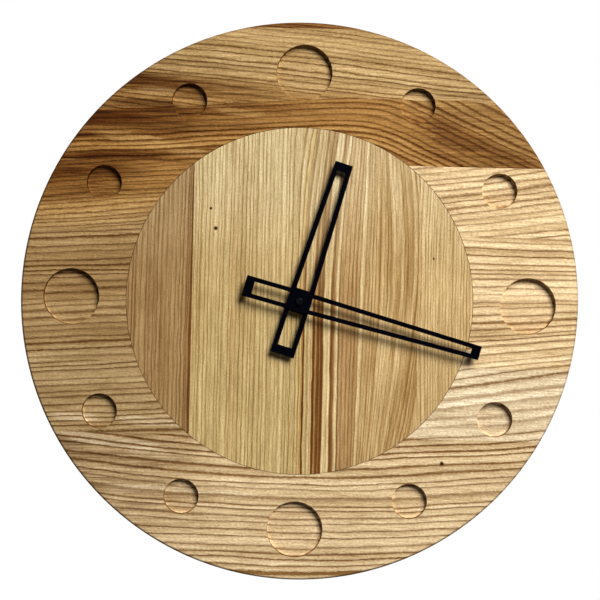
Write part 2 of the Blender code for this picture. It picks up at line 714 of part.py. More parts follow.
def hands():
    minute = hand_outlines(MINUTE_REACH, MINUTE_TAIL, MINUTE_WIDTH, MINUTE_TIP_WIDTH, MINUTE_BAR,
                           MINUTE_SPIGOT_RADIUS + HAND_FIT)
    plate("minute_hand", minute, MINUTE_HAND_FRONT_Y, MINUTE_HAND_BACK_Y, look=black_paint(),
          turn=MINUTE_ANGLE)
    hour = hand_outlines(HOUR_REACH, HOUR_TAIL, HOUR_WIDTH, HOUR_TIP_WIDTH, HOUR_BAR,
                         HOUR_TUBE_RADIUS + HAND_FIT)
    plate("hour_hand", hour, HOUR_HAND_FRONT_Y, HOUR_HAND_BACK_Y, look=black_paint(), turn=HOUR_ANGLE)


def cap_nut():
    """The small domed nut on the end of the minute arbor."""
    dome = arc((CAP_NUT_RADIUS - CAP_NUT_ROUND, CAP_NUT_FRONT_Y + CAP_NUT_ROUND), CAP_NUT_ROUND,
               -pi / 2, 0, FILLET_STEPS)
    bore = MINUTE_SPIGOT_RADIUS + THREAD_CLEARANCE
    profile = [(0, CAP_NUT_FRONT_Y), *dome, (CAP_NUT_RADIUS, MINUTE_HAND_FRONT_Y),
               (bore, MINUTE_HAND_FRONT_Y), (bore, CAP_NUT_FRONT_Y + CAP_NUT_TOP),
               (0, CAP_NUT_FRONT_Y + CAP_NUT_TOP)]
    turned("minute_hand_nut", profile, look=black_paint())


def dial_fasteners():
    """The gasket behind the web, and the washer and nut that clamp the movement to it."""
    hole = circle(BUSH_RADIUS + THREAD_CLEARANCE, TUBE_STEPS)
    plate("gasket", [circle(GASKET_RADIUS, TUBE_STEPS), hole], POCKET_FLOOR_Y, CASE_FRONT_Y, look=rubber())
    plate("dial_washer", [circle(WASHER_RADIUS, TUBE_STEPS), hole], WASHER_FRONT_Y, FRONT_Y, look=brass())
    hexagon = circle(NUT_ACROSS_FLATS / 2 / cos(pi / 6), 6)
    plate("shaft_nut", [hexagon, hole], NUT_FRONT_Y, WASHER_FRONT_Y, look=brass())


def case_cavities():
    """The train's room with the cover's seat behind it, the battery bay, and slots for the contacts
    through the wall between them."""
    train = rounded(rectangle(-CAVITY_HALF, CAVITY_HALF, TRAIN_BOTTOM, CAVITY_HALF), CAVITY_CORNER)
    bay = rounded(rectangle(-CAVITY_HALF, CAVITY_HALF, -CAVITY_HALF, BAY_TOP), CAVITY_CORNER)
    side = CASE_HALF + OVERRUN
    cuts = [plate("cut_train_room", [train], CASE_INNER_Y, CASE_BACK_Y + OVERRUN),
            plate("cut_battery_bay", [bay], CASE_FRONT_Y + BAY_FLOOR, CASE_BACK_Y + OVERRUN),
            box("cut_cover_seat", (-side, side), (COVER_INNER_Y, CASE_BACK_Y + OVERRUN),
                (BAY_TOP - REST_GAP, side))]
    for name, left in (("left", -CAVITY_HALF), ("right", CAVITY_HALF - SLOT_WIDTH)):
        cuts.append(box("cut_contact_slot_" + name, (left, left + SLOT_WIDTH),
                        (CONTACT_Y - REST_GAP, CASE_BACK_Y),
                        (BAY_TOP - CAVITY_CORNER, TRAIN_BOTTOM + CAVITY_CORNER)))
    return cuts


def case_posts():
    """The stepped posts of the plates, the circuit board's posts, and the stud of the motion wheel."""
    root = CASE_INNER_Y - SINK
    posts = []
    for i, axis in enumerate(BRIDGE_POSTS):
        lengths = ((POST_RADIUS, MIDDLE_PLATE_Y), (POST_NECK_RADIUS, BRIDGE_Y),
                   (POST_PIN_RADIUS, BRIDGE_BACK_Y + REST_GAP))
        posts.append(stepped(f"join_post_{i}", root, lengths, axis))
    for i, axis in enumerate(BOARD_POSTS):
        lengths = ((POST_NECK_RADIUS, BOARD_Y), (POST_PIN_RADIUS, BOARD_Y + BOARD_THICKNESS + REST_GAP))
        posts.append(stepped(f"join_board_post_{i}", root, lengths, axis))
    stud_back = MOTION_WHEEL_Y + WHEEL_THICKNESS + AXIAL_PLAY
    posts.append(stepped("join_motion_stud", root, ((STUD_RADIUS, stud_back),), MOTION_AXIS))
    return posts


def front_bearings():
    """(name, axis, back face of the boss, radius of its bore) of the blind bearings on the case's floor."""
    pivot_bore = PIVOT_RADIUS + RUNNING_CLEARANCE
    knob_bore = ARBOR_RADIUS + RUNNING_CLEARANCE
    return (("third", THIRD_AXIS, MINUTE_WHEEL_Y - TOOTH_OVERLAP - AXIAL_PLAY, pivot_bore),
            ("rotor", ROTOR_AXIS, rotor_front() - AXIAL_PLAY, pivot_bore),
            ("knob", KNOB_AXIS, MOTION_WHEEL_Y - TOOTH_OVERLAP - AXIAL_PLAY, knob_bore))


def rotor_front():
    return MIDDLE_PLATE_Y - AXIAL_PLAY


def movement_case():
    """The square front shell with the threaded bush, the posts and the front bearings in one moulding."""
    block = rounded(rectangle(-CASE_HALF, CASE_HALF, -CASE_HALF, CASE_HALF), CASE_CORNER)
    case = plate("movement_case", [block], CASE_FRONT_Y, CASE_BACK_Y, look=black_plastic())
    combine(case, case_cavities())
    bush = cylinder("join_bush", BUSH_RADIUS, BUSH_FRONT_Y, CASE_FRONT_Y + SINK)
    bosses = [cylinder(f"join_boss_{name}", BOSS_RADIUS, CASE_INNER_Y - SINK, back, axis, steps=SMALL_STEPS)
              for name, axis, back, bore in front_bearings()]
    combine(case, [bush, *case_posts(), *bosses], "UNION")
    bores = [cylinder(f"cut_bearing_{name}", bore, CASE_INNER_Y, back + OVERRUN, axis, steps=SMALL_STEPS)
             for name, axis, back, bore in front_bearings()]
    tube = cylinder("cut_bush_bore", HOUR_TUBE_RADIUS + RUNNING_CLEARANCE,
                    BUSH_FRONT_Y - OVERRUN, CASE_INNER_Y + OVERRUN)
    combine(case, [tube, *bores])


def movement_cover():
    """The back lid over the train, with a rim that locates it inside the walls and a hole for the knob."""
    outline = rounded(rectangle(-CASE_HALF, CASE_HALF, BAY_TOP, CASE_HALF), CASE_CORNER)
    knob_hole = circle(KNOB_RADIUS + SHAFT_PASSAGE, TUBE_STEPS, KNOB_AXIS)
    lid = plate("movement_cover", [outline, knob_hole], COVER_INNER_Y, CASE_BACK_Y, look=black_plastic())
    half = CAVITY_HALF - REST_GAP
    low = TRAIN_BOTTOM + REST_GAP
    rim = [rounded(rectangle(-half, half, low, half), CAVITY_CORNER),
           rounded(rectangle(COVER_RIM_WIDTH - half, half - COVER_RIM_WIDTH,
                             low + COVER_RIM_WIDTH, half - COVER_RIM_WIDTH), CAVITY_CORNER)]
    ridge = plate("join_cover_rim", rim, COVER_INNER_Y - COVER_RIM_HEIGHT, COVER_INNER_Y + SINK)
    combine(lid, [ridge], "UNION")


def hour_wheel():
    """The hour wheel with the long tube that carries the hour hand."""
    teeth = plate("hour_wheel", [gear(HOUR_WHEEL_TEETH, HOUR_MODULE, 0, WHEEL_FLANK_SHARES)],
                  HOUR_WHEEL_Y, HOUR_WHEEL_Y + WHEEL_THICKNESS, look=brass())
    tube = cylinder("join_hour_tube", HOUR_TUBE_RADIUS, HOUR_TUBE_FRONT_Y, HOUR_WHEEL_Y + SINK)
    bore = cylinder("cut_hour_bore", MINUTE_TUBE_RADIUS + RUNNING_CLEARANCE,
                    HOUR_TUBE_FRONT_Y - OVERRUN, HOUR_WHEEL_Y + WHEEL_THICKNESS + OVERRUN)
    combine(teeth, [tube], "UNION")
    combine(teeth, [bore])


def minute_arbor():
    """The minute tube with the cannon pinion; the minute wheel grips it behind the pinion."""
    phase = meshed(MOTION_WHEEL_TEETH, 0, MOTION_DIRECTION + pi, CANNON_PINION_TEETH)
    back = MOTION_WHEEL_Y + WHEEL_THICKNESS + TOOTH_OVERLAP
    profile = [(0, SPIGOT_FRONT_Y), (MINUTE_SPIGOT_RADIUS, SPIGOT_FRONT_Y),
               (MINUTE_SPIGOT_RADIUS, MINUTE_HAND_BACK_Y), (MINUTE_TUBE_RADIUS, MINUTE_HAND_BACK_Y),
               (MINUTE_TUBE_RADIUS, MINUTE_ARBOR_BACK_Y), (0, MINUTE_ARBOR_BACK_Y)]
    arbor = turned("minute_arbor", profile, look=brass())
    leaves = gear(CANNON_PINION_TEETH, MOTION_MODULE, phase, PINION_FLANK_SHARES)
    pinion = plate("join_cannon_pinion", [leaves], MOTION_WHEEL_Y - TOOTH_OVERLAP, back)
    collar = cylinder("join_minute_collar", MINUTE_TUBE_RADIUS + AXIAL_PLAY, back - SINK, MINUTE_WHEEL_Y)
    bore = cylinder("cut_minute_bore", ARBOR_RADIUS + RUNNING_CLEARANCE,
                    SPIGOT_FRONT_Y - OVERRUN, MINUTE_ARBOR_BACK_Y + OVERRUN, steps=SMALL_STEPS)
    combine(arbor, [pinion, collar], "UNION")
    combine(arbor, [bore])
    rim = gear(MINUTE_WHEEL_TEETH, MINUTE_MODULE, 0, WHEEL_FLANK_SHARES)
    plate("minute_wheel", [rim, circle(MINUTE_TUBE_RADIUS + HAND_FIT, TUBE_STEPS)],
          MINUTE_WHEEL_Y, MINUTE_WHEEL_Y + WHEEL_THICKNESS, look=brass())


def motion_wheel():
    """The idler between the minute tube and the hour wheel: a wheel and a pinion on the case's stud."""
    wheel = plate("motion_wheel", [gear(MOTION_WHEEL_TEETH, MOTION_MODULE, 0, WHEEL_FLANK_SHARES)],
                  MOTION_WHEEL_Y, MOTION_WHEEL_Y + WHEEL_THICKNESS, MOTION_AXIS, white_plastic())
    phase = meshed(HOUR_WHEEL_TEETH, 0, MOTION_DIRECTION, MOTION_PINION_TEETH)
    leaves = gear(MOTION_PINION_TEETH, HOUR_MODULE, phase, PINION_FLANK_SHARES)
    pinion = plate("join_motion_pinion", [leaves], HOUR_WHEEL_Y, MOTION_WHEEL_Y + SINK, MOTION_AXIS)
    bore = cylinder("cut_motion_bore", STUD_RADIUS + RUNNING_CLEARANCE, HOUR_WHEEL_Y - OVERRUN,
                    MOTION_WHEEL_Y + WHEEL_THICKNESS + OVERRUN, MOTION_AXIS, steps=SMALL_STEPS)
    combine(wheel, [pinion], "UNION")
    combine(wheel, [bore])


def knob_head():
    """The fluted head's outline."""
    outline = []
    for i in range(KNOB_FLUTES * 2):
        radius = KNOB_RADIUS - (KNOB_FLUTE_DEPTH if i % 2 else 0)
        outline.append(along(DIAL_AXIS, radius, pi * i / KNOB_FLUTES))
    return outline


def setting_knob():
    """The knob in the back that turns the motion wheel: head, retaining collar, shaft and pinion."""
    back = CASE_BACK_Y + KNOB_PROUD
    head_front = back - KNOB_HEAD_DEPTH
    pinion_front = MOTION_WHEEL_Y - TOOTH_OVERLAP
    pinion_back = MOTION_WHEEL_Y + WHEEL_THICKNESS + TOOTH_OVERLAP
    collar_back = COVER_INNER_Y - REST_GAP
    head = plate("setting_knob", [knob_head()], head_front, back, KNOB_AXIS, white_plastic())
    lengths = ((ARBOR_RADIUS, pinion_front + SINK),
               (KNOB_SHAFT_RADIUS, collar_back - KNOB_COLLAR_THICKNESS),
               (KNOB_COLLAR_RADIUS, collar_back), (KNOB_SHAFT_RADIUS, head_front + SINK))
    shaft = stepped("join_knob_shaft", CASE_INNER_Y + AXIAL_PLAY, lengths, KNOB_AXIS, facets=TUBE_STEPS)
    phase = meshed(MOTION_WHEEL_TEETH, 0, KNOB_DIRECTION, KNOB_PINION_TEETH)
    leaves = gear(KNOB_PINION_TEETH, MOTION_MODULE, phase, PINION_FLANK_SHARES)
    pinion = plate("join_knob_pinion", [leaves], pinion_front, pinion_back, KNOB_AXIS)
    combine(head, [shaft, pinion], "UNION")


def arbor_wheel(name, axis, arbor, wheel, pinion, look):
    """A toothed wheel and its pinion on one arbor. arbor is (front, lengths); wheel and pinion are
    (teeth, module, phase, front, back)."""
    teeth, module, phase, front, back = wheel
    solid = plate(name, [gear(teeth, module, phase, WHEEL_FLANK_SHARES)], front, back, axis, look)
    teeth, module, phase, front, back = pinion
    leaves = gear(teeth, module, phase, PINION_FLANK_SHARES)
    small = plate("join_pinion_" + name, [leaves], front, back, axis)
    pin = stepped("join_arbor_" + name, arbor[0], arbor[1], axis)
    combine(solid, [small, pin], "UNION")


def rear_pivot():
    """The back end of an arbor: its shoulder before the bridge and its pivot in it."""
    return ((ARBOR_RADIUS, BRIDGE_Y - AXIAL_PLAY), (PIVOT_RADIUS, BRIDGE_BACK_Y - AXIAL_PLAY))


def third_wheel():
    phase = meshed(MINUTE_WHEEL_TEETH, 0, THIRD_DIRECTION, THIRD_PINION_TEETH)
    front = MINUTE_WHEEL_Y - TOOTH_OVERLAP
    arbor = (CASE_INNER_Y + AXIAL_PLAY, ((PIVOT_RADIUS, front + SINK), *rear_pivot()))
    wheel = (THIRD_WHEEL_TEETH, THIRD_MODULE, 0, THIRD_WHEEL_Y, THIRD_WHEEL_Y + WHEEL_THICKNESS)
    pinion = (THIRD_PINION_TEETH, MINUTE_MODULE, phase, front, THIRD_WHEEL_Y + SINK)
    arbor_wheel("third_wheel", THIRD_AXIS, arbor, wheel, pinion, white_plastic())


def seconds_wheel():
    phase = meshed(THIRD_WHEEL_TEETH, 0, THIRD_DIRECTION + pi, SECONDS_PINION_TEETH)
    arbor = (SECONDS_FRONT_Y, rear_pivot())
    wheel = (SECONDS_WHEEL_TEETH, SECONDS_MODULE, 0, SECONDS_WHEEL_Y, SECONDS_WHEEL_Y + WHEEL_THICKNESS)
    pinion_front = THIRD_WHEEL_Y - TOOTH_OVERLAP
    pinion = (SECONDS_PINION_TEETH, THIRD_MODULE, phase, pinion_front, SECONDS_WHEEL_Y + SINK)
    arbor_wheel("seconds_wheel", DIAL_AXIS, arbor, wheel, pinion, white_plastic())


def reduction_boss_back():
    return SECONDS_WHEEL_Y - TOOTH_OVERLAP - AXIAL_PLAY


def reduction_wheel():
    phase = meshed(SECONDS_WHEEL_TEETH, 0, REDUCTION_DIRECTION, REDUCTION_PINION_TEETH)
    front = SECONDS_WHEEL_Y - TOOTH_OVERLAP
    arbor = (MIDDLE_PLATE_Y + PLATE_THICKNESS + AXIAL_PLAY, ((PIVOT_RADIUS, front + SINK), *rear_pivot()))
    wheel_back = REDUCTION_WHEEL_Y + WHEEL_THICKNESS
    wheel = (REDUCTION_WHEEL_TEETH, REDUCTION_MODULE, 0, REDUCTION_WHEEL_Y, wheel_back)
    pinion = (REDUCTION_PINION_TEETH, SECONDS_MODULE, phase, front, REDUCTION_WHEEL_Y + SINK)
    arbor_wheel("reduction_wheel", REDUCTION_AXIS, arbor, wheel, pinion, white_plastic())


def rotor():
    """The rotor's sleeve and pinion, and the ring magnet that it carries in the stator's hole."""
    phase = meshed(REDUCTION_WHEEL_TEETH, 0, ROTOR_DIRECTION, ROTOR_PINION_TEETH)
    front = rotor_front()
    magnet_front = front + AXIAL_PLAY
    magnet_back = magnet_front + MAGNET_LENGTH
    tip_radius = MAGNET_RADIUS / 2
    lengths = ((PIVOT_RADIUS, front), (tip_radius, magnet_front), (ROTOR_SLEEVE_RADIUS, magnet_back),
               *rear_pivot())
    sleeve = stepped("rotor", CASE_INNER_Y + AXIAL_PLAY, lengths, ROTOR_AXIS, white_plastic())
    leaves = gear(ROTOR_PINION_TEETH, REDUCTION_MODULE, phase, PINION_FLANK_SHARES)
    teeth = plate("join_rotor_pinion", [leaves], REDUCTION_WHEEL_Y - TOOTH_OVERLAP,
                  REDUCTION_WHEEL_Y + WHEEL_THICKNESS + TOOTH_OVERLAP, ROTOR_AXIS)
    combine(sleeve, [teeth], "UNION")
    ring = [circle(MAGNET_RADIUS, TUBE_STEPS), circle(ROTOR_SLEEVE_RADIUS + HAND_FIT, SMALL_STEPS)]
    plate("rotor_magnet", ring, magnet_front, magnet_back, ROTOR_AXIS, magnet_grey())


def holes(places, radius, steps=SMALL_STEPS):
    return [circle(radius, steps, centre) for centre in places]


def plate_top():
    """The height of the plates' upper edge over the posts."""
    return max(z for x, z in BRIDGE_POSTS) + POST_RADIUS + BRIDGE_CORNER / 2


def middle_plate():
    """The plate between the dial train and the rear train; an arm reaches up past the coil, and a boss
    carries the front pivot of the reduction wheel."""
    right = CAVITY_HALF - PLATE_INSET
    bottom = TRAIN_BOTTOM + PLATE_INSET
    left = min(x for x, z in BRIDGE_POSTS) - POST_RADIUS - BRIDGE_CORNER
    arm = stator_left() - SLOT_WIDTH
    top = CAVITY_HALF - PLATE_INSET
    outline = rounded([(left, bottom), (right, bottom), (right, top), (arm, top), (arm, plate_top()),
                       (left, plate_top())], PLATE_INSET)
    flange = BOBBIN_FLANGE_RADIUS + PLATE_INSET
    window = rectangle(COIL_LEFT - PLATE_INSET, COIL_RIGHT + PLATE_INSET, COIL_Z - flange,
                       COIL_Z + flange)
    pinion_tip = MINUTE_MODULE * THIRD_PINION_TEETH / 2 + MINUTE_MODULE
    openings = [outline, window, *holes(BRIDGE_POSTS, POST_NECK_RADIUS + PLAY_IN_HOLE),
                *holes([DIAL_AXIS], ARBOR_RADIUS + SHAFT_PASSAGE),
                *holes([THIRD_AXIS], pinion_tip + SHAFT_PASSAGE),
                *holes([KNOB_AXIS], KNOB_SHAFT_RADIUS + SHAFT_PASSAGE),
                *holes([ROTOR_AXIS], MAGNET_RADIUS + AIR_GAP, TUBE_STEPS)]
    back = MIDDLE_PLATE_Y + PLATE_THICKNESS
    sheet = plate("middle_plate", openings, MIDDLE_PLATE_Y, back, look=white_plastic())
    boss = cylinder("join_reduction_boss", BOSS_RADIUS, back - SINK, reduction_boss_back(), REDUCTION_AXIS,
                    steps=SMALL_STEPS)
    bore = cylinder("cut_reduction_bore", PIVOT_RADIUS + RUNNING_CLEARANCE, back,
                    reduction_boss_back() + OVERRUN, REDUCTION_AXIS, steps=SMALL_STEPS)
    combine(sheet, [boss], "UNION")
    combine(sheet, [bore])


def gear_bridge():
    """The rear plate with the back bearings of the four arbors, on the posts' upper shoulders."""
    left = min(x for x, z in BRIDGE_POSTS) - POST_RADIUS - BRIDGE_CORNER / 2
    bottom = min(z for x, z in BRIDGE_POSTS) - POST_RADIUS
    right = ROTOR_AXIS[0] + POST_RADIUS + BRIDGE_CORNER / 2
    shoulder = ROTOR_AXIS[1] + POST_RADIUS * 2
    corners = [(left, bottom), (right - POST_NECK_RADIUS, bottom), (right, ROTOR_AXIS[1] - POST_RADIUS * 2),
               (right, shoulder), (BRIDGE_POSTS[3][0] + POST_RADIUS + BRIDGE_CORNER / 2, plate_top()),
               (left, plate_top())]
    pivots = [THIRD_AXIS, DIAL_AXIS, REDUCTION_AXIS, ROTOR_AXIS]
    openings = [rounded(corners, BRIDGE_CORNER), *holes(pivots, PIVOT_RADIUS + RUNNING_CLEARANCE),
                *holes(BRIDGE_POSTS, POST_PIN_RADIUS + PLAY_IN_HOLE),
                *holes([KNOB_AXIS], KNOB_SHAFT_RADIUS + SHAFT_PASSAGE)]
    plate("gear_bridge", openings, BRIDGE_Y, BRIDGE_BACK_Y, look=white_plastic())


def stator_left():
    """The outer edge of the stator's left leg, beside the coil."""
    return COIL_LEFT - AIR_GAP * 2 - STATOR_LEG_WIDTH


def stator():
    """The two-legged pole plate: a lobe round the rotor's hole, and a leg to each end of the coil."""
    left = stator_left()
    right = CAVITY_HALF - PLATE_INSET
    top = COIL_Z + COIL_CORE_WIDTH
    x, z = ROTOR_AXIS
    knee = z + STATOR_LOBE_RADIUS + STATOR_LEG_WIDTH
    fork = z + STATOR_LOBE_RADIUS * cos(pi / 6)
    spread = STATOR_LOBE_RADIUS * sin(pi / 4)
    lobe = arc(ROTOR_AXIS, STATOR_LOBE_RADIUS, radians(165), radians(375), SMALL_STEPS)
    outline = [(left, top), (left, knee), *lobe, (right, knee), (right, top),
               (right - STATOR_LEG_WIDTH, top), (right - STATOR_LEG_WIDTH, knee + AIR_GAP),
               (x + spread, fork), (x - spread, fork),
               (left + STATOR_LEG_WIDTH, knee + AIR_GAP), (left + STATOR_LEG_WIDTH, top)]
    hole = circle(MAGNET_RADIUS + AIR_GAP, TUBE_STEPS, ROTOR_AXIS)
    plate("stator", [outline, hole], STATOR_Y, STATOR_Y + STATOR_THICKNESS, look=steel())


def coil():
    """The soft-iron core across the stator's legs, with the bobbin and its winding round it."""
    right = CAVITY_HALF - PLATE_INSET - CONTACT_GAP
    half = COIL_CORE_WIDTH / 2
    bar = rectangle(stator_left() + CONTACT_GAP, right, COIL_Z - half, COIL_Z + half)
    plate("coil_core", [bar], CORE_Y, CORE_Y + COIL_CORE_THICKNESS, look=steel())
    axis = (CORE_Y + COIL_CORE_THICKNESS / 2, COIL_Z)
    inner_left = COIL_LEFT + BOBBIN_FLANGE_THICKNESS
    inner_right = COIL_RIGHT - BOBBIN_FLANGE_THICKNESS
    spool = [(BOBBIN_BORE_RADIUS, COIL_RIGHT), (BOBBIN_FLANGE_RADIUS, COIL_RIGHT),
             (BOBBIN_FLANGE_RADIUS, inner_right), (BOBBIN_TUBE_RADIUS, inner_right),
             (BOBBIN_TUBE_RADIUS, inner_left), (BOBBIN_FLANGE_RADIUS, inner_left),
             (BOBBIN_FLANGE_RADIUS, COIL_LEFT), (BOBBIN_BORE_RADIUS, COIL_LEFT)]
    turned("coil_bobbin", spool, look=black_plastic(), steps=COIL_STEPS, lengthwise=axis)
    bore = BOBBIN_TUBE_RADIUS + HAND_FIT
    start, end = inner_right - PLAY_IN_HOLE, inner_left + PLAY_IN_HOLE
    wire = [(bore, start), (WINDING_RADIUS, start), (WINDING_RADIUS, end), (bore, end)]
    turned("coil_winding", wire, look=copper(), steps=COIL_STEPS, lengthwise=axis)


def circuit_board():
    """The board on its two posts, with the sealed chip and the quartz crystal's can on its back."""
    back = BOARD_Y + BOARD_THICKNESS
    outline = rectangle(BOARD_LEFT, BOARD_RIGHT, BOARD_BOTTOM, BOARD_TOP)
    plate("circuit_board", [outline, *holes(BOARD_POSTS, POST_PIN_RADIUS + PLAY_IN_HOLE)], BOARD_Y, back,
          look=board_green())
    dome = [(0, back), (CHIP_RADIUS, back), (CHIP_RADIUS * cos(pi / 6), back + CHIP_HEIGHT / 2),
            (CHIP_RADIUS / 2, back + CHIP_HEIGHT), (0, back + CHIP_HEIGHT)]
    turned("chip", dome, on_board(CHIP_SHARES), black_plastic(), SMALL_STEPS)
    x, z = on_board(CRYSTAL_SHARES)
    right = x + CRYSTAL_LENGTH / 2
    can = [(0, right), (CRYSTAL_RADIUS, right), (CRYSTAL_RADIUS, right - CRYSTAL_LENGTH),
           (0, right - CRYSTAL_LENGTH)]
    turned("quartz_crystal", can, look=steel(), steps=SMALL_STEPS,
           lengthwise=(back + REST_GAP + CRYSTAL_RADIUS, z))


def cell_ends():
    """Where the battery's flat end and its nub lie along X."""
    nub = CAVITY_HALF - CONTACT_GAP - CONTACT_THICKNESS - CONTACT_GAP
    return nub - CELL_NUB_LENGTH - CELL_LENGTH, nub


def battery():
    """The round cell in the bay, its nub to the right."""
    flat, nub = cell_ends()
    shoulder = nub - CELL_NUB_LENGTH
    profile = [(0, nub), (CELL_NUB_RADIUS, nub), (CELL_NUB_RADIUS, shoulder),
               (CELL_RADIUS - CELL_EDGE, shoulder), (CELL_RADIUS, shoulder - CELL_EDGE),
               (CELL_RADIUS, flat + CELL_EDGE), (CELL_RADIUS - CELL_EDGE, flat), (0, flat)]
    turned("battery", profile, look=cell_wrap(), lengthwise=(CELL_Y, CELL_Z))


def ribbon(points, thickness):
    """The closed outline of a thin strip that follows these points, to their left."""
    left_side = []
    for i, point in enumerate(points):
        here = Vector(point)
        before = (here - Vector(points[i - 1])).normalized() if i else None
        after = (Vector(points[i + 1]) - here).normalized() if i + 1 < len(points) else None
        run_in = before or after
        run_out = after or before
        normal = (run_in + run_out).normalized().orthogonal()
        left_side.append(tuple(here + normal * (thickness / run_in.orthogonal().dot(normal))))
    return [*points, *reversed(left_side)]


def contacts():
    """The two strips that press on the battery's ends and run past the partition to the circuit board."""
    wall = CAVITY_HALF - CONTACT_GAP
    half = CELL_RADIUS / 2
    bow = cell_ends()[0] - CONTACT_GAP - CONTACT_THICKNESS + wall
    top = BOARD_TOP + CONTACT_GAP + CONTACT_THICKNESS
    back = CONTACT_Y + CONTACT_WIDTH
    spring = [(bow * (1 + cos(turn)) / 2 - wall, CELL_Z - half * turn / pi)
              for turn in (pi * (2 * i / TUBE_STEPS - 1) for i in range(TUBE_STEPS + 1))]
    bowed = [(-wall, BOARD_BOTTOM + CONTACT_HOOK), *spring]
    plate("contact_negative", [ribbon(bowed, CONTACT_THICKNESS)], CONTACT_Y, back, look=brass())
    straight = [(wall, CELL_Z - half), (wall, top), (BOARD_RIGHT - CONTACT_HOOK, top)]
    plate("contact_positive", [ribbon(straight, CONTACT_THICKNESS)], CONTACT_Y, back, look=brass())


def shade_round_walls():
    """Each finished mesh, smooth over the facets of its round walls and sharp at its real edges."""
    bpy.context.view_layer.update()
    graph = bpy.context.evaluated_depsgraph_get()
    evaluated = [(solid, solid.evaluated_get(graph)) for solid in parts.objects]
    finished = [(solid, bpy.data.meshes.new_from_object(source)) for solid, source in evaluated]
    for solid, mesh in finished:
        mesh.name = solid.name
        mesh.shade_smooth()
        mesh.set_sharp_from_angle(angle=SHARP_ANGLE)
        solid.modifiers.clear()
        solid.data = mesh


def build():
    global parts, cutters
    clear_scene()
    parts = collection("wall_clock")
    cutters = collection("cutters", hidden=True)
    wooden_dial()
    hanger()
    hands()
    cap_nut()
    dial_fasteners()
    movement_case()
    movement_cover()
    hour_wheel()
    minute_arbor()
    motion_wheel()
    setting_knob()
    third_wheel()
    seconds_wheel()
    reduction_wheel()
    rotor()
    middle_plate()
    gear_bridge()
    stator()
    coil()
    circuit_board()
    battery()
    contacts()
    shade_round_walls()


build()
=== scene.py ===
"""Looks of a round ash wall clock: brushed and oiled boards, black hands, and the movement behind them."""

from math import cos, pi, radians, sin

import bmesh
import bpy
from mathutils import Matrix, Vector


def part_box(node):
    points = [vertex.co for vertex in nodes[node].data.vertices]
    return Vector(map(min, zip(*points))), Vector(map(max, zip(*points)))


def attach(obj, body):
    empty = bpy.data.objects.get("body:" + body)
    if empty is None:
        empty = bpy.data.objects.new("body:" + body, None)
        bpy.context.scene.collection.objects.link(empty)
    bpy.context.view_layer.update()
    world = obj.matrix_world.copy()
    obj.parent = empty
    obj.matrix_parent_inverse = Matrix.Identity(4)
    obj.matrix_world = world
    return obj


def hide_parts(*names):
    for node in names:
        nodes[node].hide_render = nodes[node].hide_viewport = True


MM = 0.001

# Camera: distance from the rim's widest outline, width of the view there, place and turn of the view
CAMERA_DISTANCE = 0.9
VIEW_WIDTH = 0.37704
VIEW_ROLL = radians(1.27)
VIEW_CENTRE = (0.0003, 0.0007)
SENSOR_WIDTH = 36
NEAR_CLIP = 0.05

# Square lamps that face the dial's centre: place and side in metres, and watts
LAMPS = {
    "key_lamp": ((0.92, -1.62, 1.29), 1.1, 76.0),
    "fill_lamp": ((-0.9, -1.3, 0.25), 1.2, 0.05),
    "back_lamp": ((-0.7, 1.3, 0.7), 0.9, 20),
}

# How strongly the white surroundings light the clock; where they are seen they stay white
WORLD_STRENGTH = 0.012

# Floor: half its width and its height in metres, the radii in millimetres between which it fades out, and
# how many of its soft blotches go in a millimetre
FLOOR_REACH = 0.9
FLOOR_HEIGHT = -0.34
FLOOR_FADE = (200.0, 640.0)
FLOOR_BLOTCHES = 0.02

# Dial: its radii, half its thickness, its rounded edges, and its glued joints across Z and across X
DIAL_RADIUS = 175 * MM
RING_INNER = 109 * MM
CENTRE_RADIUS = 108.7 * MM
HALF_THICK = 11 * MM
FRONT_ROUND = 1.5 * MM
BACK_ROUND = 1.0 * MM
RIM_STEPS = 240
RING_JOINTS = (171.15 * MM, 86.205 * MM, 42.595 * MM, -39.6025 * MM, -84.9975 * MM)
CENTRE_JOINTS = (-67.58 * MM, 74.5015 * MM)

# Hour marks: the circle that they stand on, their two radii, and the form of their walls and floors
RECESS_RING = 143.3 * MM
LARGE_RECESS = 17.5 * MM
SMALL_RECESS = 11.0 * MM
RECESS_DEPTH = 4 * MM
RECESS_FILLET = 0.4 * MM
RECESS_DRAFT = 0.2 * MM
RECESS_LIP = 0.12 * MM

# Hollows of the back: room round the pieces that they hold, corners, floors, and the bore for the arbors
PLATE_ROOM = 0.1 * MM
SCREW_HEAD_SPACE = (-5.5 * MM, 5.5 * MM, 132.5 * MM, 152.5 * MM)
SCREW_HEAD_CORNER = 2 * MM
SCREW_HEAD_FLOOR = 4.5 * MM
POCKET_ROOM = 1.0 * MM
POCKET_CORNER = 4 * MM
POCKET_FLOOR = -7 * MM
BORE_RADIUS = 4.2 * MM

# How far a cutting tool stands out of the wood
PROUD = 1 * MM

# Edges sharper than this stay sharp, and large faces pull the normals by this weight
SMOOTH_ANGLE = radians(30)
FACE_WEIGHT = 80

# Pin knots in the face, as (x, z, radius) in millimetres, and where their soft edge ends, in radii
PIN_KNOTS = ((-56.9, 57.0, 0.55), (-53.5, 44.6, 0.75), (91.5, -100.0, 0.8), (83.6, 28.4, 0.4))
KNOT_EDGE = 2.2


def tint(red, green, blue):
    """A colour from its 0 to 255 screen values, by the sRGB curve."""
    shares = (red / 255, green / 255, blue / 255)
    return tuple(s / 12.92 if s < 0.04045 else ((s + 0.055) / 1.055) ** 2.4 for s in shares) + (1.0,)


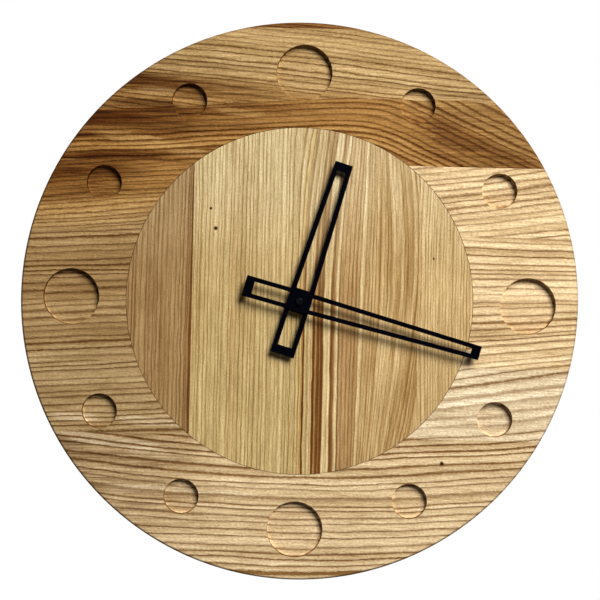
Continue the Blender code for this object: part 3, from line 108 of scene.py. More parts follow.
def seen_rays(tree):
    """1 for rays that come from the camera, off a gloss or through glass, and 0 for all others."""
    path = tree.nodes.new("ShaderNodeLightPath").outputs
    seen = path["Is Camera Ray"]
    for kind in ("Is Glossy Ray", "Is Transmission Ray"):
        either = tree.nodes.new("ShaderNodeMath")
        either.operation = "MAXIMUM"
        tree.links.new(seen, either.inputs[0])
        tree.links.new(path[kind], either.inputs[1])
        seen = either.outputs[0]
    return seen


class Finish:
    """A material and short names for its nodes; x, y and z are the object's own place in millimetres."""

    def __init__(self, name):
        self.material = bpy.data.materials.new(name)
        self.material.use_nodes = True
        self.tree = self.material.node_tree
        self.tree.nodes.clear()
        self.shader = self.tree.nodes.new("ShaderNodeBsdfPrincipled")
        output = self.tree.nodes.new("ShaderNodeOutputMaterial")
        self.tree.links.new(self.shader.outputs[0], output.inputs["Surface"])
        place = self.tree.nodes.new("ShaderNodeTexCoord").outputs["Object"]
        counted = self.add("ShaderNodeVectorMath", (place, (1 / MM,) * 3), operation="MULTIPLY")
        split = self.tree.nodes.new("ShaderNodeSeparateXYZ")
        self.tree.links.new(counted, split.inputs[0])
        self.x, self.y, self.z = split.outputs

    def feed(self, socket, value):
        if isinstance(value, bpy.types.NodeSocket):
            self.tree.links.new(value, socket)
        else:
            socket.default_value = value

    def add(self, kind, values, **settings):
        """A node of this kind with its inputs fed by place or by name; gives its first output."""
        node = self.tree.nodes.new(kind)
        for name, setting in settings.items():
            setattr(node, name, setting)
        named = values.items() if isinstance(values, dict) else enumerate(values)
        for key, value in named:
            self.feed(node.inputs[key], value)
        return node.outputs[0]

    def math(self, operation, *values):
        return self.add("ShaderNodeMath", values, operation=operation)

    def sum(self, *values):
        total = values[0]
        for value in values[1:]:
            total = self.math("ADD", total, value)
        return total

    def product(self, *values):
        total = values[0]
        for value in values[1:]:
            total = self.math("MULTIPLY", total, value)
        return total

    def minus(self, first, second):
        return self.math("SUBTRACT", first, second)

    def divided(self, value, divisor):
        return self.math("DIVIDE", value, divisor)

    def distance(self, *lengths):
        """The root of the sum of the squares."""
        return self.math("SQRT", self.sum(*(self.product(length, length) for length in lengths)))

    def scaled(self, factor):
        """The point's coordinates times a factor."""
        return [self.product(length, factor) for length in (self.x, self.y, self.z)]

    def span(self, value, low, high, start=0.0, end=1.0, smooth=True):
        """The value's way from low to high, as a number from start to end."""
        kind = "SMOOTHSTEP" if smooth else "LINEAR"
        return self.add("ShaderNodeMapRange", (value, low, high, start, end), interpolation_type=kind)

    def around(self, noise, reach, start=0.0, end=1.0):
        """The way of a noise through its middle, from this far below zero to this far above."""
        return self.span(noise, -reach, reach, start, end)

    def noise(self, x, y, z, detail=2.0, roughness=0.5):
        """Soft noise around zero at the point that is reached by these coordinates."""
        point = self.add("ShaderNodeCombineXYZ", (x, y, z))
        values = {"Vector": point, "Scale": 1.0, "Detail": detail, "Roughness": roughness}
        return self.minus(self.add("ShaderNodeTexNoise", values), 0.5)

    def chance(self, value):
        """A number from 0 to 1 that differs for each value."""
        return self.add("ShaderNodeTexWhiteNoise", {"W": value}, noise_dimensions="1D")

    def ramp(self, factor, stops):
        """A ramp of (place, share or colour) stops, with places from 0 to 1."""
        node = self.tree.nodes.new("ShaderNodeValToRGB")
        elements = node.color_ramp.elements
        elements.remove(elements[1])
        elements[0].position = stops[0][0]
        for position, _ in stops[1:]:
            elements.new(position)
        for element, (_, colour) in zip(elements, stops):
            element.color = colour if isinstance(colour, tuple) else (colour, colour, colour, 1.0)
        self.feed(node.inputs[0], factor)
        return node.outputs[0]

    def levels(self, value, stops):
        """A ramp over a length in millimetres: (place, share or colour) from low to high."""
        low = stops[0][0]
        reach = stops[-1][0] - low
        share = self.span(value, low, low + reach, smooth=False)
        return self.ramp(share, [((place - low) / reach, colour) for place, colour in stops])

    def mix(self, factor, first, second, kind="MIX"):
        node = self.tree.nodes.new("ShaderNodeMix")
        node.data_type = "RGBA"
        node.blend_type = kind
        self.feed(node.inputs[0], factor)
        self.feed(node.inputs[6], first)
        self.feed(node.inputs[7], second)
        return node.outputs[2]

    def tempered(self, colour, factor, light, deep):
        """The colour times one shade where the factor is 0 and times another where it is 1."""
        return self.mix(1.0, colour, self.mix(factor, (*light, 1.0), (*deep, 1.0)), "MULTIPLY")

    def bump(self, height, depth):
        """Relief from a height between 0 and 1, this many metres deep."""
        values = {"Strength": 1.0, "Distance": depth, "Height": height}
        self.feed(self.shader.inputs["Normal"], self.add("ShaderNodeBump", values))

    def set(self, **values):
        """Feeds the shader's inputs, named like base_color, and gives the material."""
        for name, value in values.items():
            self.feed(self.shader.inputs[name.replace("_", " ").title().replace("Ior", "IOR")], value)
        return self.material


# Waves of the growth lines: length and width in millimetres, and height on level and on upright boards
WANDER = (150.0, 45.0, 8.0, 3.0)
WAVER = (22.0, 7.0, 1.5, 1.5)
RIPPLE = (2.6, 1.1, 1.25, 0.5)

# Growth lines: step between the seeds of two boards, drift for each millimetre of depth, and how wide (in
# years) and how strong the changes between crowded and loose years are
SEED_STEP = 37.0
DEPTH_DRIFT = 0.45
CROWD_WIDTH = 3.1
CROWD_SHARE = 2.4

# How dark the wood is through a year, and the range of that from year to year
LATE_WOOD = ((0.0, 1.0), (0.10, 0.84), (0.20, 0.16), (0.32, 0.0), (0.62, 0.12), (0.80, 0.40), (0.93, 0.90),
             (1.0, 1.0))
LINE_STRENGTH = (0.42, 1.10)


class Wood(Finish):
    """A board's finish, with its growth lines: the level that tells them apart, their year and darkness."""

    def __init__(self, board, upright):
        super().__init__("oiled_" + board)
        facts = GRAIN[board]
        self.upright = upright
        self.seed = facts["seed"] * SEED_STEP
        self.along, self.across = (self.z, self.x) if upright else (self.x, self.z)
        bend = facts["bend"]
        rise = bend(self) if callable(bend) else sweep(self, **bend)
        self.waver = self.wave(WAVER)
        self.ripple = self.wave(RIPPLE)
        drift = self.product(self.sum(self.y, HALF_THICK / MM), DEPTH_DRIFT)
        self.level = self.sum(self.minus(self.across, rise), self.wave(WANDER), self.waver, drift)
        pitch = facts["pitch"]
        crowd = self.noise(self.divided(self.level, pitch * CROWD_WIDTH), self.seed, 0.0)
        rings = self.sum(self.divided(self.sum(self.level, self.ripple), pitch),
                         self.product(crowd, CROWD_SHARE))
        self.year = self.math("FLOOR", rings)
        late = self.ramp(self.math("FRACT", rings), LATE_WOOD)
        chance = self.chance(self.sum(self.year, self.seed))
        strength = self.span(chance, 0.0, 1.0, *LINE_STRENGTH, smooth=False)
        self.line = self.product(late, strength, facts.get("bold", 1.0))
        self.line_tone = facts.get("line", RING_LINE)

    def grained(self, long, wide, **more):
        """Noise of this length along the grain and this width across it, in millimetres."""
        return self.noise(self.sum(self.divided(self.along, long), self.seed),
                          self.divided(self.across, wide), self.divided(self.y, wide), **more)

    def wave(self, size):
        """A wave of the growth lines, in millimetres."""
        long, wide, level_height, upright_height = size
        return self.product(self.grained(long, wide), upright_height if self.upright else level_height)


def sweep(wood, slope=0.0, bow=0.0, fan=0.0, centre=0.0):
    """How far the grain lines have risen across the board: a slope, a bow and a slope that fans out."""
    fanned = wood.product(fan, wood.minus(wood.across, centre))
    steepness = wood.sum(slope, wood.product(bow, wood.along), fanned)
    return wood.product(steepness, wood.along)


def arched(wood, middle=44.0, height=110.0, lean=0.6, rounding=250.0, slope=-0.15, drop=-0.22, rise=100.0,
           fall=-0.088):
    """Lines of the top board: above a seam they fall evenly, and below it they arch over the centre."""
    run = wood.minus(wood.minus(wood.along, middle), wood.product(wood.minus(wood.across, height), lean))
    over = wood.math("SQRT", wood.sum(wood.product(run, run), rounding))
    arch = wood.sum(wood.product(run, slope), wood.product(over, drop), rise)
    below = wood.math("LESS_THAN", wood.across, seam(wood))
    even = wood.product(wood.along, fall)
    return wood.sum(even, wood.product(below, wood.minus(arch, even)))


def seam(wood, height=128.0, left=25.0, left_slope=0.07, right=100.0, right_slope=-0.1, wave=18.0,
         swing=3.0):
    """Height of the top board's seam: level in its middle, falling away on both sides, and wavy."""
    falling_left = wood.product(wood.math("MINIMUM", wood.minus(wood.along, left), 0.0), left_slope)
    falling_right = wood.product(wood.math("MAXIMUM", wood.minus(wood.along, right), 0.0), right_slope)
    waving = wood.product(wood.noise(wood.divided(wood.along, wave), 0.0, 0.0), swing)
    return wood.sum(height, falling_left, falling_right, waving)


def leaning(wood, foot=-20.0, lean=0.00045, stripes=(-8.0, 12.0), middle=25.0, bulge=-0.0009,
            right_side=(28.0, 62.0)):
    """Lines of the centre's middle board: its stripes lean to the right, and right of them lines bulge."""
    high = wood.math("MAXIMUM", wood.minus(wood.along, foot), 0.0)
    leant = wood.product(high, high, lean, wood.span(wood.across, *stripes))
    run = wood.minus(wood.along, middle)
    bulged = wood.product(run, run, bulge)
    part = wood.span(wood.across, *right_side)
    return wood.sum(leant, wood.product(part, wood.minus(bulged, leant)))


# What the growth lines multiply the wood's tone by
RING_LINE = (0.30, 0.20, 0.10, 1.0)
FINE_LINE = (0.58, 0.47, 0.32, 1.0)
PINK_LINE = (0.50, 0.40, 0.29, 1.0)

# Each board's grain: seed of its noise, distance of its lines in millimetres, how bold they are, their bend
GRAIN = {
    "ring_board_crown": dict(seed=1.0, pitch=2.4, bend=dict(slope=-0.08)),
    "ring_board_top": dict(seed=2.0, pitch=3.4, bold=1.1, bend=arched),
    "ring_board_upper_left": dict(seed=3.0, pitch=2.7, bend=dict(slope=0.085)),
    "ring_board_upper_right": dict(seed=4.0, pitch=3.2, bend=dict(slope=0.10, fan=0.0015, centre=60.0)),
    "ring_board_middle_left": dict(seed=5.0, pitch=4.2, bold=1.15, bend=dict(slope=0.065)),
    "ring_board_middle_right": dict(seed=6.0, pitch=5.6, bend=dict(slope=0.075, fan=-0.0029)),
    "ring_board_lower_left": dict(seed=7.0, pitch=4.4, bend=dict(slope=0.08, fan=0.0012, centre=-55.0)),
    "ring_board_lower_right": dict(seed=8.0, pitch=5.2, bend=dict(slope=0.10, fan=0.0012, centre=-55.0)),
    "ring_board_bottom": dict(seed=9.0, pitch=4.4, bold=1.22, bend=dict(bow=0.00037)),
    "centre_board_left": dict(seed=10.0, pitch=2.7, bend=dict(slope=0.01), line=PINK_LINE),
    "centre_board_middle": dict(seed=11.0, pitch=2.5, bend=leaning, line=FINE_LINE),
    "centre_board_right": dict(seed=12.0, pitch=1.9, bend=dict(slope=-0.01, bow=0.0002), line=FINE_LINE),
}

MAPLE = tint(236, 219, 186)
PALE = tint(230, 205, 161)
STRAW = tint(229, 206, 165)
HONEY = tint(200, 172, 122)
AMBER = tint(214, 190, 140)
OAKEN = tint(184, 147, 91)
TAWNY = tint(184, 155, 106)
TAN = tint(169, 140, 96)
FAWN = tint(183, 158, 115)
BROWN = tint(128, 88, 46)
HEART = tint(74, 36, 2)
UMBER = tint(54, 28, 8)
CREAM = tint(204, 184, 132)
IVORY = tint(224, 205, 156)
GOLD = tint(206, 178, 116)
SAND = tint(197, 171, 122)
NUT = tint(98, 54, 16)
ROSE = tint(186, 134, 88)
PINK = tint(186, 154, 108)
RUSSET = tint(178, 136, 78)

# Tone of the wood between its lines: places across the grain in millimetres, from low to high. The boards on
# the left are darker than those on the right, partly their own tone and partly painted shade for light that
# falls off away from the upper right
TONES = {
    "ring_board_crown": ((170.0, BROWN), (175.0, BROWN)),
    "ring_board_top": (
        (-8.0, RUSSET), (30.0, RUSSET), (38.0, OAKEN), (105.0, OAKEN), (125.0, OAKEN), (140.0, HONEY),
        (152.0, HONEY), (160.0, TAWNY), (180.0, TAWNY)),
    "ring_board_upper_left": ((52.0, TAN), (70.0, OAKEN), (80.0, RUSSET), (100.0, RUSSET)),
    "ring_board_upper_right": ((30.0, PALE), (60.0, PALE)),
    "ring_board_middle_left": ((-36.0, FAWN), (10.0, TAN), (50.0, TAN)),
    "ring_board_middle_right": ((-60.0, PALE), (50.0, PALE)),
    "ring_board_lower_left": ((-80.0, FAWN), (-30.0, FAWN)),
    "ring_board_lower_right": ((-100.0, MAPLE), (-40.0, MAPLE)),
    "ring_board_bottom": ((-176.0, STRAW), (-84.0, STRAW)),
    "centre_board_left": (
        (-110.0, TAN), (-70.6, TAN), (-69.9, BROWN), (-69.2, TAN), (-68.4, BROWN), (-67.0, BROWN)),
    "centre_board_middle": (
        (-68.0, CREAM), (-42.2, CREAM), (-41.7, ROSE), (-41.2, CREAM), (-22.6, CREAM), (-22.0, IVORY),
        (-20.9, IVORY), (-20.3, CREAM), (-12.6, CREAM), (-12.0, IVORY), (-10.4, IVORY), (-9.8, CREAM),
        (0.2, CREAM), (0.9, GOLD), (2.4, GOLD), (3.4, CREAM), (7.8, IVORY), (8.6, OAKEN), (15.0, OAKEN),
        (15.4, IVORY), (19.3, IVORY), (19.8, OAKEN), (22.2, OAKEN), (22.6, IVORY), (24.3, IVORY),
        (25.2, PINK), (37.4, PINK), (37.8, IVORY), (38.8, IVORY), (40.5, SAND), (76.0, SAND)),
    "centre_board_right": ((70.0, AMBER), (110.0, AMBER)),
}

# Dark stripes of the centre's middle board: how dark they are across the grain
STRIPES = (
    (2.2, 0.0), (2.5, 1.0), (3.3, 1.0), (3.7, 0.0), (4.7, 0.0), (5.0, 0.5), (5.3, 0.0), (6.4, 0.0),
    (6.6, 0.35), (6.9, 0.0), (8.3, 0.0), (8.7, 0.95), (9.8, 0.9), (10.3, 0.25), (10.8, 0.3), (11.4, 0.9),
    (12.6, 0.75), (13.0, 0.35), (13.3, 0.85), (14.7, 1.0), (15.1, 0.0), (16.6, 0.0), (16.8, 0.35),
    (17.1, 0.0), (19.5, 0.0), (19.9, 0.8), (22.0, 0.6), (22.5, 0.0), (24.3, 0.0), (24.7, 0.8), (25.2, 0.6),
    (25.8, 0.0))

# That board's other changes of tone: a sandy and a paler upper part, and bands on its right side
SANDY_HEIGHT = (-20.0, 50.0)
SANDY_SHARE = 0.5
PALER_HEIGHT = (20.0, 80.0)
PALER_SHADE = (1.06, 1.08, 1.12)
BANDED_SIDE = (37.0, 50.0)
BAND_WIDTH = 3.0
BAND_LENGTH = 90.0
BAND_REACH = 0.18
BAND_SHADES = ((1.20, 1.25, 1.34), (0.77, 0.68, 0.54))
BANDED_LINES_LOSE = 0.12

# Heartwood: how dark it is across the grain, and how that share changes along the board
HEARTWOOD = {
    "ring_board_top": (
        ((-2.0, 0.6), (1.0, 0.9), (4.0, 0.4), (7.5, 0.0), (10.0, 0.35), (13.0, 0.8), (18.5, 0.5),
         (22.0, 0.85), (30.0, 0.9), (36.0, 0.4), (60.0, 0.5), (110.0, 0.6), (119.0, 0.3), (123.0, 0.8),
         (130.0, 1.0), (134.0, 0.55), (145.0, 0.5), (160.0, 0.0)),
        ((-150.0, 1.0), (-85.0, 0.85), (-40.0, 0.62), (-5.0, 0.35), (30.0, 0.2), (65.0, 0.25), (85.0, 0.75),
         (150.0, 0.7))),
    "ring_board_upper_left": (
        ((66.0, 0.0), (71.0, 0.15), (75.0, 0.5), (80.0, 0.5), (90.0, 0.8), (97.0, 0.6)),
        ((-150.0, 1.05), (-118.0, 0.95), (-90.0, 0.45))),
    "ring_board_bottom": (
        ((-176.0, 0.3), (-150.0, 0.6), (-100.0, 1.0)),
        ((-150.0, 0.6), (-90.0, 0.45), (-35.0, 0.0))),
}

# The heartwood's ragged edge and its flames: the noise that makes them, how far it reaches, and the shades
RAGGED = dict(long=30.0, wide=1.0, detail=3.0, roughness=0.6)
RAGGED_SHARE = 0.9
RAGGED_SPAN = (-0.05, 1.05)
FLAME = dict(long=38.0, wide=1.7, detail=2.0)
FLAME_REACH = 0.2
FLAME_SHADES = ((1.45, 1.40, 1.20), (0.62, 0.50, 0.34))

# Lenses of paler or darker wood: middle x and z, half length, half width, slope, tone and share
LENSES = {
    "ring_board_top": (
        (-104.0, 110.0, 40.0, 5.0, -0.08, HEART, 0.5), (-94.0, 97.2, 38.0, 4.6, -0.17, OAKEN, 0.68),
        (-100.0, 122.6, 24.0, 3.4, -0.02, HEART, 0.62), (-91.0, 129.4, 16.0, 2.6, -0.05, TAWNY, 0.3),
        (-42.0, 118.0, 20.0, 2.4, -0.10, OAKEN, 0.55), (-108.0, 87.0, 34.0, 4.2, -0.05, HEART, 0.58)),
    "ring_board_bottom": (
        (-118.0, -90.0, 38.0, 4.6, -0.15, MAPLE, 0.6), (-72.0, -120.5, 52.0, 2.6, -0.04, MAPLE, 0.6)),
    "ring_board_lower_left": (
        (-92.0, -77.5, 20.0, 3.4, -0.08, MAPLE, 0.5), (-140.0, -76.0, 16.0, 3.0, -0.05, MAPLE, 0.45)),
}

# The lenses' wavy outline, and where they fade, in squared shares of their half length and half width
LENS_RIPPLE = 1.6
LENS_WAVE = (26.0, 3.0, 6.0, 6.0)
LENS_FADE = (1.25, 0.45)

# Fine grain: size of its noise along and across in millimetres, the flecks' slant, and an offset that keeps
# a year's tone apart from the strength of its line
COARSE = dict(long=16.0, wide=0.95, detail=3.0, roughness=0.6)
STREAK = dict(long=9.0, wide=0.34, detail=3.0, roughness=0.6)
CLOUD = dict(long=60.0, wide=14.0)
FLECK_LENGTH = 1.8
FLECK_WIDTH = 0.7
FLECK_SLANT = 0.40
DOT_LENGTH = 1.0
DOT_WIDTH = 0.5
YEAR_OFFSET = 7.5

# How far each noise reaches, and what the colour is multiplied by at its low and at its high end; a year's
# tone and the flecks are weaker on upright boards
DOT_REACH = 0.25
CLOUD_REACH = 0.25
COARSE_REACH = 0.28
FLECK_REACH = 0.3
STREAK_SPAN = (0.02, 0.26)
PLAIN = (1.0, 1.0, 1.0)
DOT_SHADES = ((1.13, 1.14, 1.16), (0.85, 0.80, 0.74))
CLOUD_SHADES = ((1.10, 1.10, 1.10), (0.90, 0.86, 0.80))
COARSE_SHADES = ((1.24, 1.25, 1.27), (0.80, 0.74, 0.66))
STREAK_SHADES = ((1.02, 1.02, 1.02), (0.62, 0.50, 0.36))
YEAR_SHADES = ((1.12, 1.15, 1.20), (0.87, 0.84, 0.79))
YEAR_SHADES_UPRIGHT = ((1.07, 1.08, 1.10), (0.94, 0.92, 0.90))
FLECK_SHADES = ((1.26, 1.29, 1.33), (0.78, 0.72, 0.64))
FLECK_SHADES_UPRIGHT = ((1.08, 1.09, 1.10), (0.92, 0.90, 0.87))

# The centre panel is lighter towards its top, and the rim is darkened with painted shade, most at the lower
# left, away from the lamp: heights and radii in millimetres, and shares
LIGHTER_HEIGHT = (5.0, 85.0)
LIGHTER_SHADE = (1.10, 1.20, 1.40)
RIM_RADII = (173.2, 174.6)
RIM_SHADED_SIDE = (100.0, -160.0)
RIM_SHADE_SHARES = (0.35, 0.85)

# Hour marks: depths below the face where the painted shade of wall and floor comes and goes, how far the
# edge and the painted light along the floor's corner reach from the wall, all in millimetres, and the
# colours of that painted shade and light
WALL_START = (0.1, 0.3)
WALL_END = (2.8, 3.3)
FLOOR_START = (3.4, 3.8)
EDGE_WIDTH = 0.2
PAINTED_LIGHT_REACH = (0.3, 3.0)
# Painted shade on the walls and, very slightly, on the floors of the hour marks, where shadow falls; painted
# light on the floor along the wall, where light bounces off it
WALL_PAINTED_SHADE = (0.26, 0.16, 0.09)
FLOOR_PAINTED_SHADE = (0.99, 0.98, 0.98)
CORNER_PAINTED_LIGHT = (1.14, 1.12, 1.08)

# Relief and gloss: what lines, coarse grain and flecks take from the height, its middle, its depth in
# metres, the roughness between the lines and on them, and the sheen of the oil
LINE_RELIEF = -0.6
COARSE_RELIEF = -0.5
FLECK_RELIEF = -0.4
RELIEF_MIDDLE = 0.6
RELIEF_DEPTH = 0.25 * MM
WOOD_ROUGHNESS = (0.48, 0.66)
WOOD_SHEEN = 0.05


def bare_tone(wood, board):
    """The wood's tone between its growth lines, with heartwood and lenses."""
    tone = wood.levels(wood.level, TONES[board])
    if board in HEARTWOOD:
        across, along = HEARTWOOD[board]
        share = wood.product(wood.levels(wood.level, across), wood.levels(wood.along, along))
        ragged = wood.product(wood.grained(**RAGGED), RAGGED_SHARE)
        share = wood.span(wood.sum(share, ragged), *RAGGED_SPAN)
        tone = wood.mix(share, tone, HEART)
        flame = wood.around(wood.grained(**FLAME), FLAME_REACH)
        tone = wood.mix(share, tone, wood.tempered(tone, flame, *FLAME_SHADES))
    for middle_x, middle_z, length, width, slope, lens_tone, share in LENSES.get(board, ()):
        run = wood.minus(wood.along, middle_x)
        off = wood.sum(wood.minus(wood.across, middle_z), wood.product(run, -slope),
                       wood.product(wood.ripple, LENS_RIPPLE), wood.waver, wood.wave(LENS_WAVE))
        end = wood.divided(run, length)
        side = wood.divided(off, width)
        away = wood.sum(wood.product(end, end), wood.product(side, side))
        tone = wood.mix(wood.span(away, *LENS_FADE, 0.0, share), tone, lens_tone)
    return tone


def striped(wood, tone):
    """The centre's middle board: dark stripes, a sandy and paler top, and soft bands on the right."""
    tone = wood.mix(wood.levels(wood.level, STRIPES), tone, NUT)
    tone = wood.mix(wood.span(wood.along, *SANDY_HEIGHT, 0.0, SANDY_SHARE), tone, SAND)
    tone = wood.tempered(tone, wood.span(wood.along, *PALER_HEIGHT), PLAIN, PALER_SHADE)
    part = wood.span(wood.across, *BANDED_SIDE)
    band = wood.noise(wood.divided(wood.level, BAND_WIDTH), wood.seed, wood.divided(wood.along, BAND_LENGTH))
    banded = wood.tempered(tone, wood.around(band, BAND_REACH), *BAND_SHADES)
    wood.line = wood.product(wood.line, wood.minus(1.0, wood.product(part, BANDED_LINES_LOSE)))
    return wood.mix(part, tone, banded)


def knots_and_rim_shade(wood, colour):
    """Adds the pin knots, and painted shade on the rim that is darkest at the lower left."""
    for x, z, radius in PIN_KNOTS:
        away = wood.distance(wood.minus(wood.x, x), wood.minus(wood.z, z))
        colour = wood.mix(wood.span(away, radius, radius * KNOT_EDGE, 1.0, 0.0), colour, UMBER)
    # Painted shade: the rim darkens towards heartwood brown, more at the lower left, which faces away from
    # the lamp
    corner = wood.span(wood.sum(wood.x, wood.z), *RIM_SHADED_SIDE, *RIM_SHADE_SHARES)
    rim = wood.span(wood.distance(wood.x, wood.z), *RIM_RADII)
    return wood.mix(wood.product(rim, corner), colour, HEART)


def inward(wood):
    """How far inside the wall of the nearest hour mark a point of the ring lies, in millimetres."""
    turn = wood.math("ARCTAN2", wood.z, wood.x)
    hour = wood.product(wood.math("ROUND", wood.divided(turn, pi / 6)), pi / 6)
    middle_x = wood.product(wood.math("COSINE", hour), RECESS_RING / MM)
    middle_z = wood.product(wood.math("SINE", hour), RECESS_RING / MM)
    away = wood.distance(wood.minus(wood.x, middle_x), wood.minus(wood.z, middle_z))
    # This share is 1 at 12, 3, 6 and 9 and a half at the other hours
    share = wood.math("ABSOLUTE", wood.math("COSINE", wood.product(hour, 2.0)))
    change = 2 * (LARGE_RECESS - SMALL_RECESS) / MM
    return wood.minus(wood.sum(wood.product(share, change), LARGE_RECESS / MM - change), away)


def recess_light_and_shade(wood, colour):
    """Paints shade on the walls of the hour marks and a slight painted shade on their floors, and paints
    light on the floors along the edge.
    """
    inner = inward(wood)
    depth = wood.sum(wood.y, HALF_THICK / MM)
    inside = wood.span(inner, -EDGE_WIDTH, 0.0)
    # Painted shade on the walls, slight painted shade on the floors, then painted light along the floor's
    # corner
    wall = wood.product(wood.span(depth, *WALL_START), wood.span(depth, *WALL_END, 1.0, 0.0), inside)
    colour = wood.tempered(colour, wall, PLAIN, WALL_PAINTED_SHADE)
    floor = wood.product(wood.span(depth, *FLOOR_START), inside)
    colour = wood.tempered(colour, floor, PLAIN, FLOOR_PAINTED_SHADE)
    corner = wood.product(floor, wood.span(inner, *PAINTED_LIGHT_REACH, 1.0, 0.0))
    return wood.tempered(colour, corner, PLAIN, CORNER_PAINTED_LIGHT)


def ash(board, upright):
    """Brushed and oiled ash: growth lines through the whole board, streaks of pores, relief along them."""
    wood = Wood(board, upright)
    coarse = wood.grained(**COARSE)
    slant = wood.product(wood.along, FLECK_SLANT)
    fleck = wood.noise(wood.sum(wood.divided(wood.along, FLECK_LENGTH), wood.seed),
                       wood.divided(wood.sum(wood.across, slant), FLECK_WIDTH), wood.y)
    tone = bare_tone(wood, board)
    if board == "centre_board_middle":
        tone = striped(wood, tone)
    if upright:
        tone = wood.tempered(tone, wood.span(wood.along, *LIGHTER_HEIGHT), PLAIN, LIGHTER_SHADE)
    lined = wood.ramp(wood.line, ((0.0, (*PLAIN, 1.0)), (1.0, wood.line_tone)))
    colour = wood.mix(1.0, tone, lined, "MULTIPLY")

    year = wood.chance(wood.sum(wood.year, wood.seed, YEAR_OFFSET))
    colour = wood.tempered(colour, year, *(YEAR_SHADES_UPRIGHT if upright else YEAR_SHADES))
    if upright:
        dots = wood.noise(wood.sum(wood.divided(wood.along, DOT_LENGTH), wood.seed),
                          wood.divided(wood.across, DOT_WIDTH), wood.y, detail=1.0)
        colour = wood.tempered(colour, wood.around(dots, DOT_REACH), *DOT_SHADES)
    colour = wood.tempered(colour, wood.around(wood.grained(**CLOUD), CLOUD_REACH), *CLOUD_SHADES)
    colour = wood.tempered(colour, wood.around(coarse, COARSE_REACH), *COARSE_SHADES)
    shades = FLECK_SHADES_UPRIGHT if upright else FLECK_SHADES
    colour = wood.tempered(colour, wood.around(fleck, FLECK_REACH), *shades)
    colour = wood.tempered(colour, wood.span(wood.grained(**STREAK), *STREAK_SPAN), *STREAK_SHADES)
    # Pin knots, and painted shade on the rim
    colour = knots_and_rim_shade(wood, colour)
    if not upright:
        # Painted shade and painted light in the hour marks
        colour = recess_light_and_shade(wood, colour)

    relief = wood.sum(wood.product(wood.line, LINE_RELIEF), wood.product(coarse, COARSE_RELIEF),
                      wood.product(fleck, FLECK_RELIEF), RELIEF_MIDDLE)
    wood.bump(relief, RELIEF_DEPTH)
    rough = wood.span(wood.line, 0.0, 1.0, *WOOD_ROUGHNESS, smooth=False)
    return wood.set(base_color=colour, roughness=rough, specular_ior_level=WOOD_SHEEN)


# How much wider than the fine speckles those are that vary tone and gloss, and how far the noises reach
WIDE_SPECKLES = 14
NOISE_REACH = 0.3


def speckled(name, colour, deeper, grain, roughness, relief, swing=0.15, **more):
    """A moulded, plated or painted finish: two close tones, gloss that swings, and fine relief."""
    finish = Finish(name)
    fine = finish.noise(*finish.scaled(1 / grain), detail=4.0, roughness=0.6)
    wide = finish.noise(*finish.scaled(1 / (grain * WIDE_SPECKLES)))
    shade = finish.around(finish.sum(fine, wide), NOISE_REACH)
    finish.bump(finish.sum(fine, 0.5), relief)
    gloss = finish.around(wide, NOISE_REACH, roughness * (1 - swing), roughness * (1 + swing))
    return finish.set(base_color=finish.mix(shade, colour, deeper), roughness=gloss, **more)


def cell_sleeve(name, copper_from=0.70, metal_ends=0.015, relief=0.005 * MM, gloss=(0.26, 0.34)):
    """The battery's printed sleeve: dark over most of its length, copper at its positive end, metal ends."""
    low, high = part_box("battery")
    finish = Finish(name)
    fine = finish.noise(*finish.scaled(2.0))
    share = finish.span(finish.x, low.x / MM, high.x / MM, smooth=False)
    from_middle = finish.math("ABSOLUTE", finish.minus(share, 0.5))
    dark = finish.mix(finish.around(fine, NOISE_REACH), tint(34, 38, 44), tint(26, 30, 36))
    band = finish.math("GREATER_THAN", share, copper_from)
    ends = finish.math("GREATER_THAN", from_middle, 0.5 - metal_ends)
    colour = finish.mix(ends, finish.mix(band, dark, tint(178, 112, 58)), tint(190, 190, 186))
    finish.bump(finish.sum(fine, 0.5), relief)
    rough = finish.around(fine, NOISE_REACH, *gloss)
    return finish.set(base_color=colour, roughness=rough, metallic=ends)


def turned_metal(name, colour, deeper, roughness, lines=9.0, blotches=0.3, relief=0.02 * MM, least=0.8,
                 most=1.3, shade_reach=0.4):
    """Metal with the fine rings that a lathe leaves round the dial's axis."""
    finish = Finish(name)
    away = finish.distance(finish.x, finish.z)
    rings = finish.noise(finish.product(away, lines), finish.product(finish.y, lines), 0.0, detail=3.0)
    blotch = finish.noise(*finish.scaled(blotches))
    finish.bump(finish.sum(rings, 0.5), relief)
    gloss = finish.around(blotch, NOISE_REACH, roughness * least, roughness * most)
    shade = finish.around(finish.sum(rings, blotch), shade_reach)
    return finish.set(base_color=finish.mix(shade, colour, deeper), roughness=gloss, metallic=1.0)


def quarter(centre, radius, start, steps):
    """Points of a quarter circle, from the start angle on."""
    turns = [start + pi / 2 * k / steps for k in range(steps + 1)]
    return [(centre[0] + radius * cos(t), centre[1] + radius * sin(t)) for t in turns]


def spun(profile, steps, axis=(0.0, 0.0), closed=False):
    """The solid that a profile of (radius, y) points sweeps round an axis that runs along Y."""
    bm = bmesh.new()
    verts = [bm.verts.new((axis[0] + r, y, axis[1])) for r, y in profile]
    edges = [bm.edges.new(pair) for pair in zip(verts, verts[1:])]
    if closed:
        edges.append(bm.edges.new((verts[-1], verts[0])))
    bmesh.ops.spin(bm, geom=verts + edges, cent=(axis[0], 0, axis[1]), axis=(0, 1, 0), angle=2 * pi,
                   steps=steps, use_merge=True)
    bmesh.ops.remove_doubles(bm, verts=bm.verts, dist=1e-7)
    bmesh.ops.recalc_face_normals(bm, faces=bm.faces)
    return bm


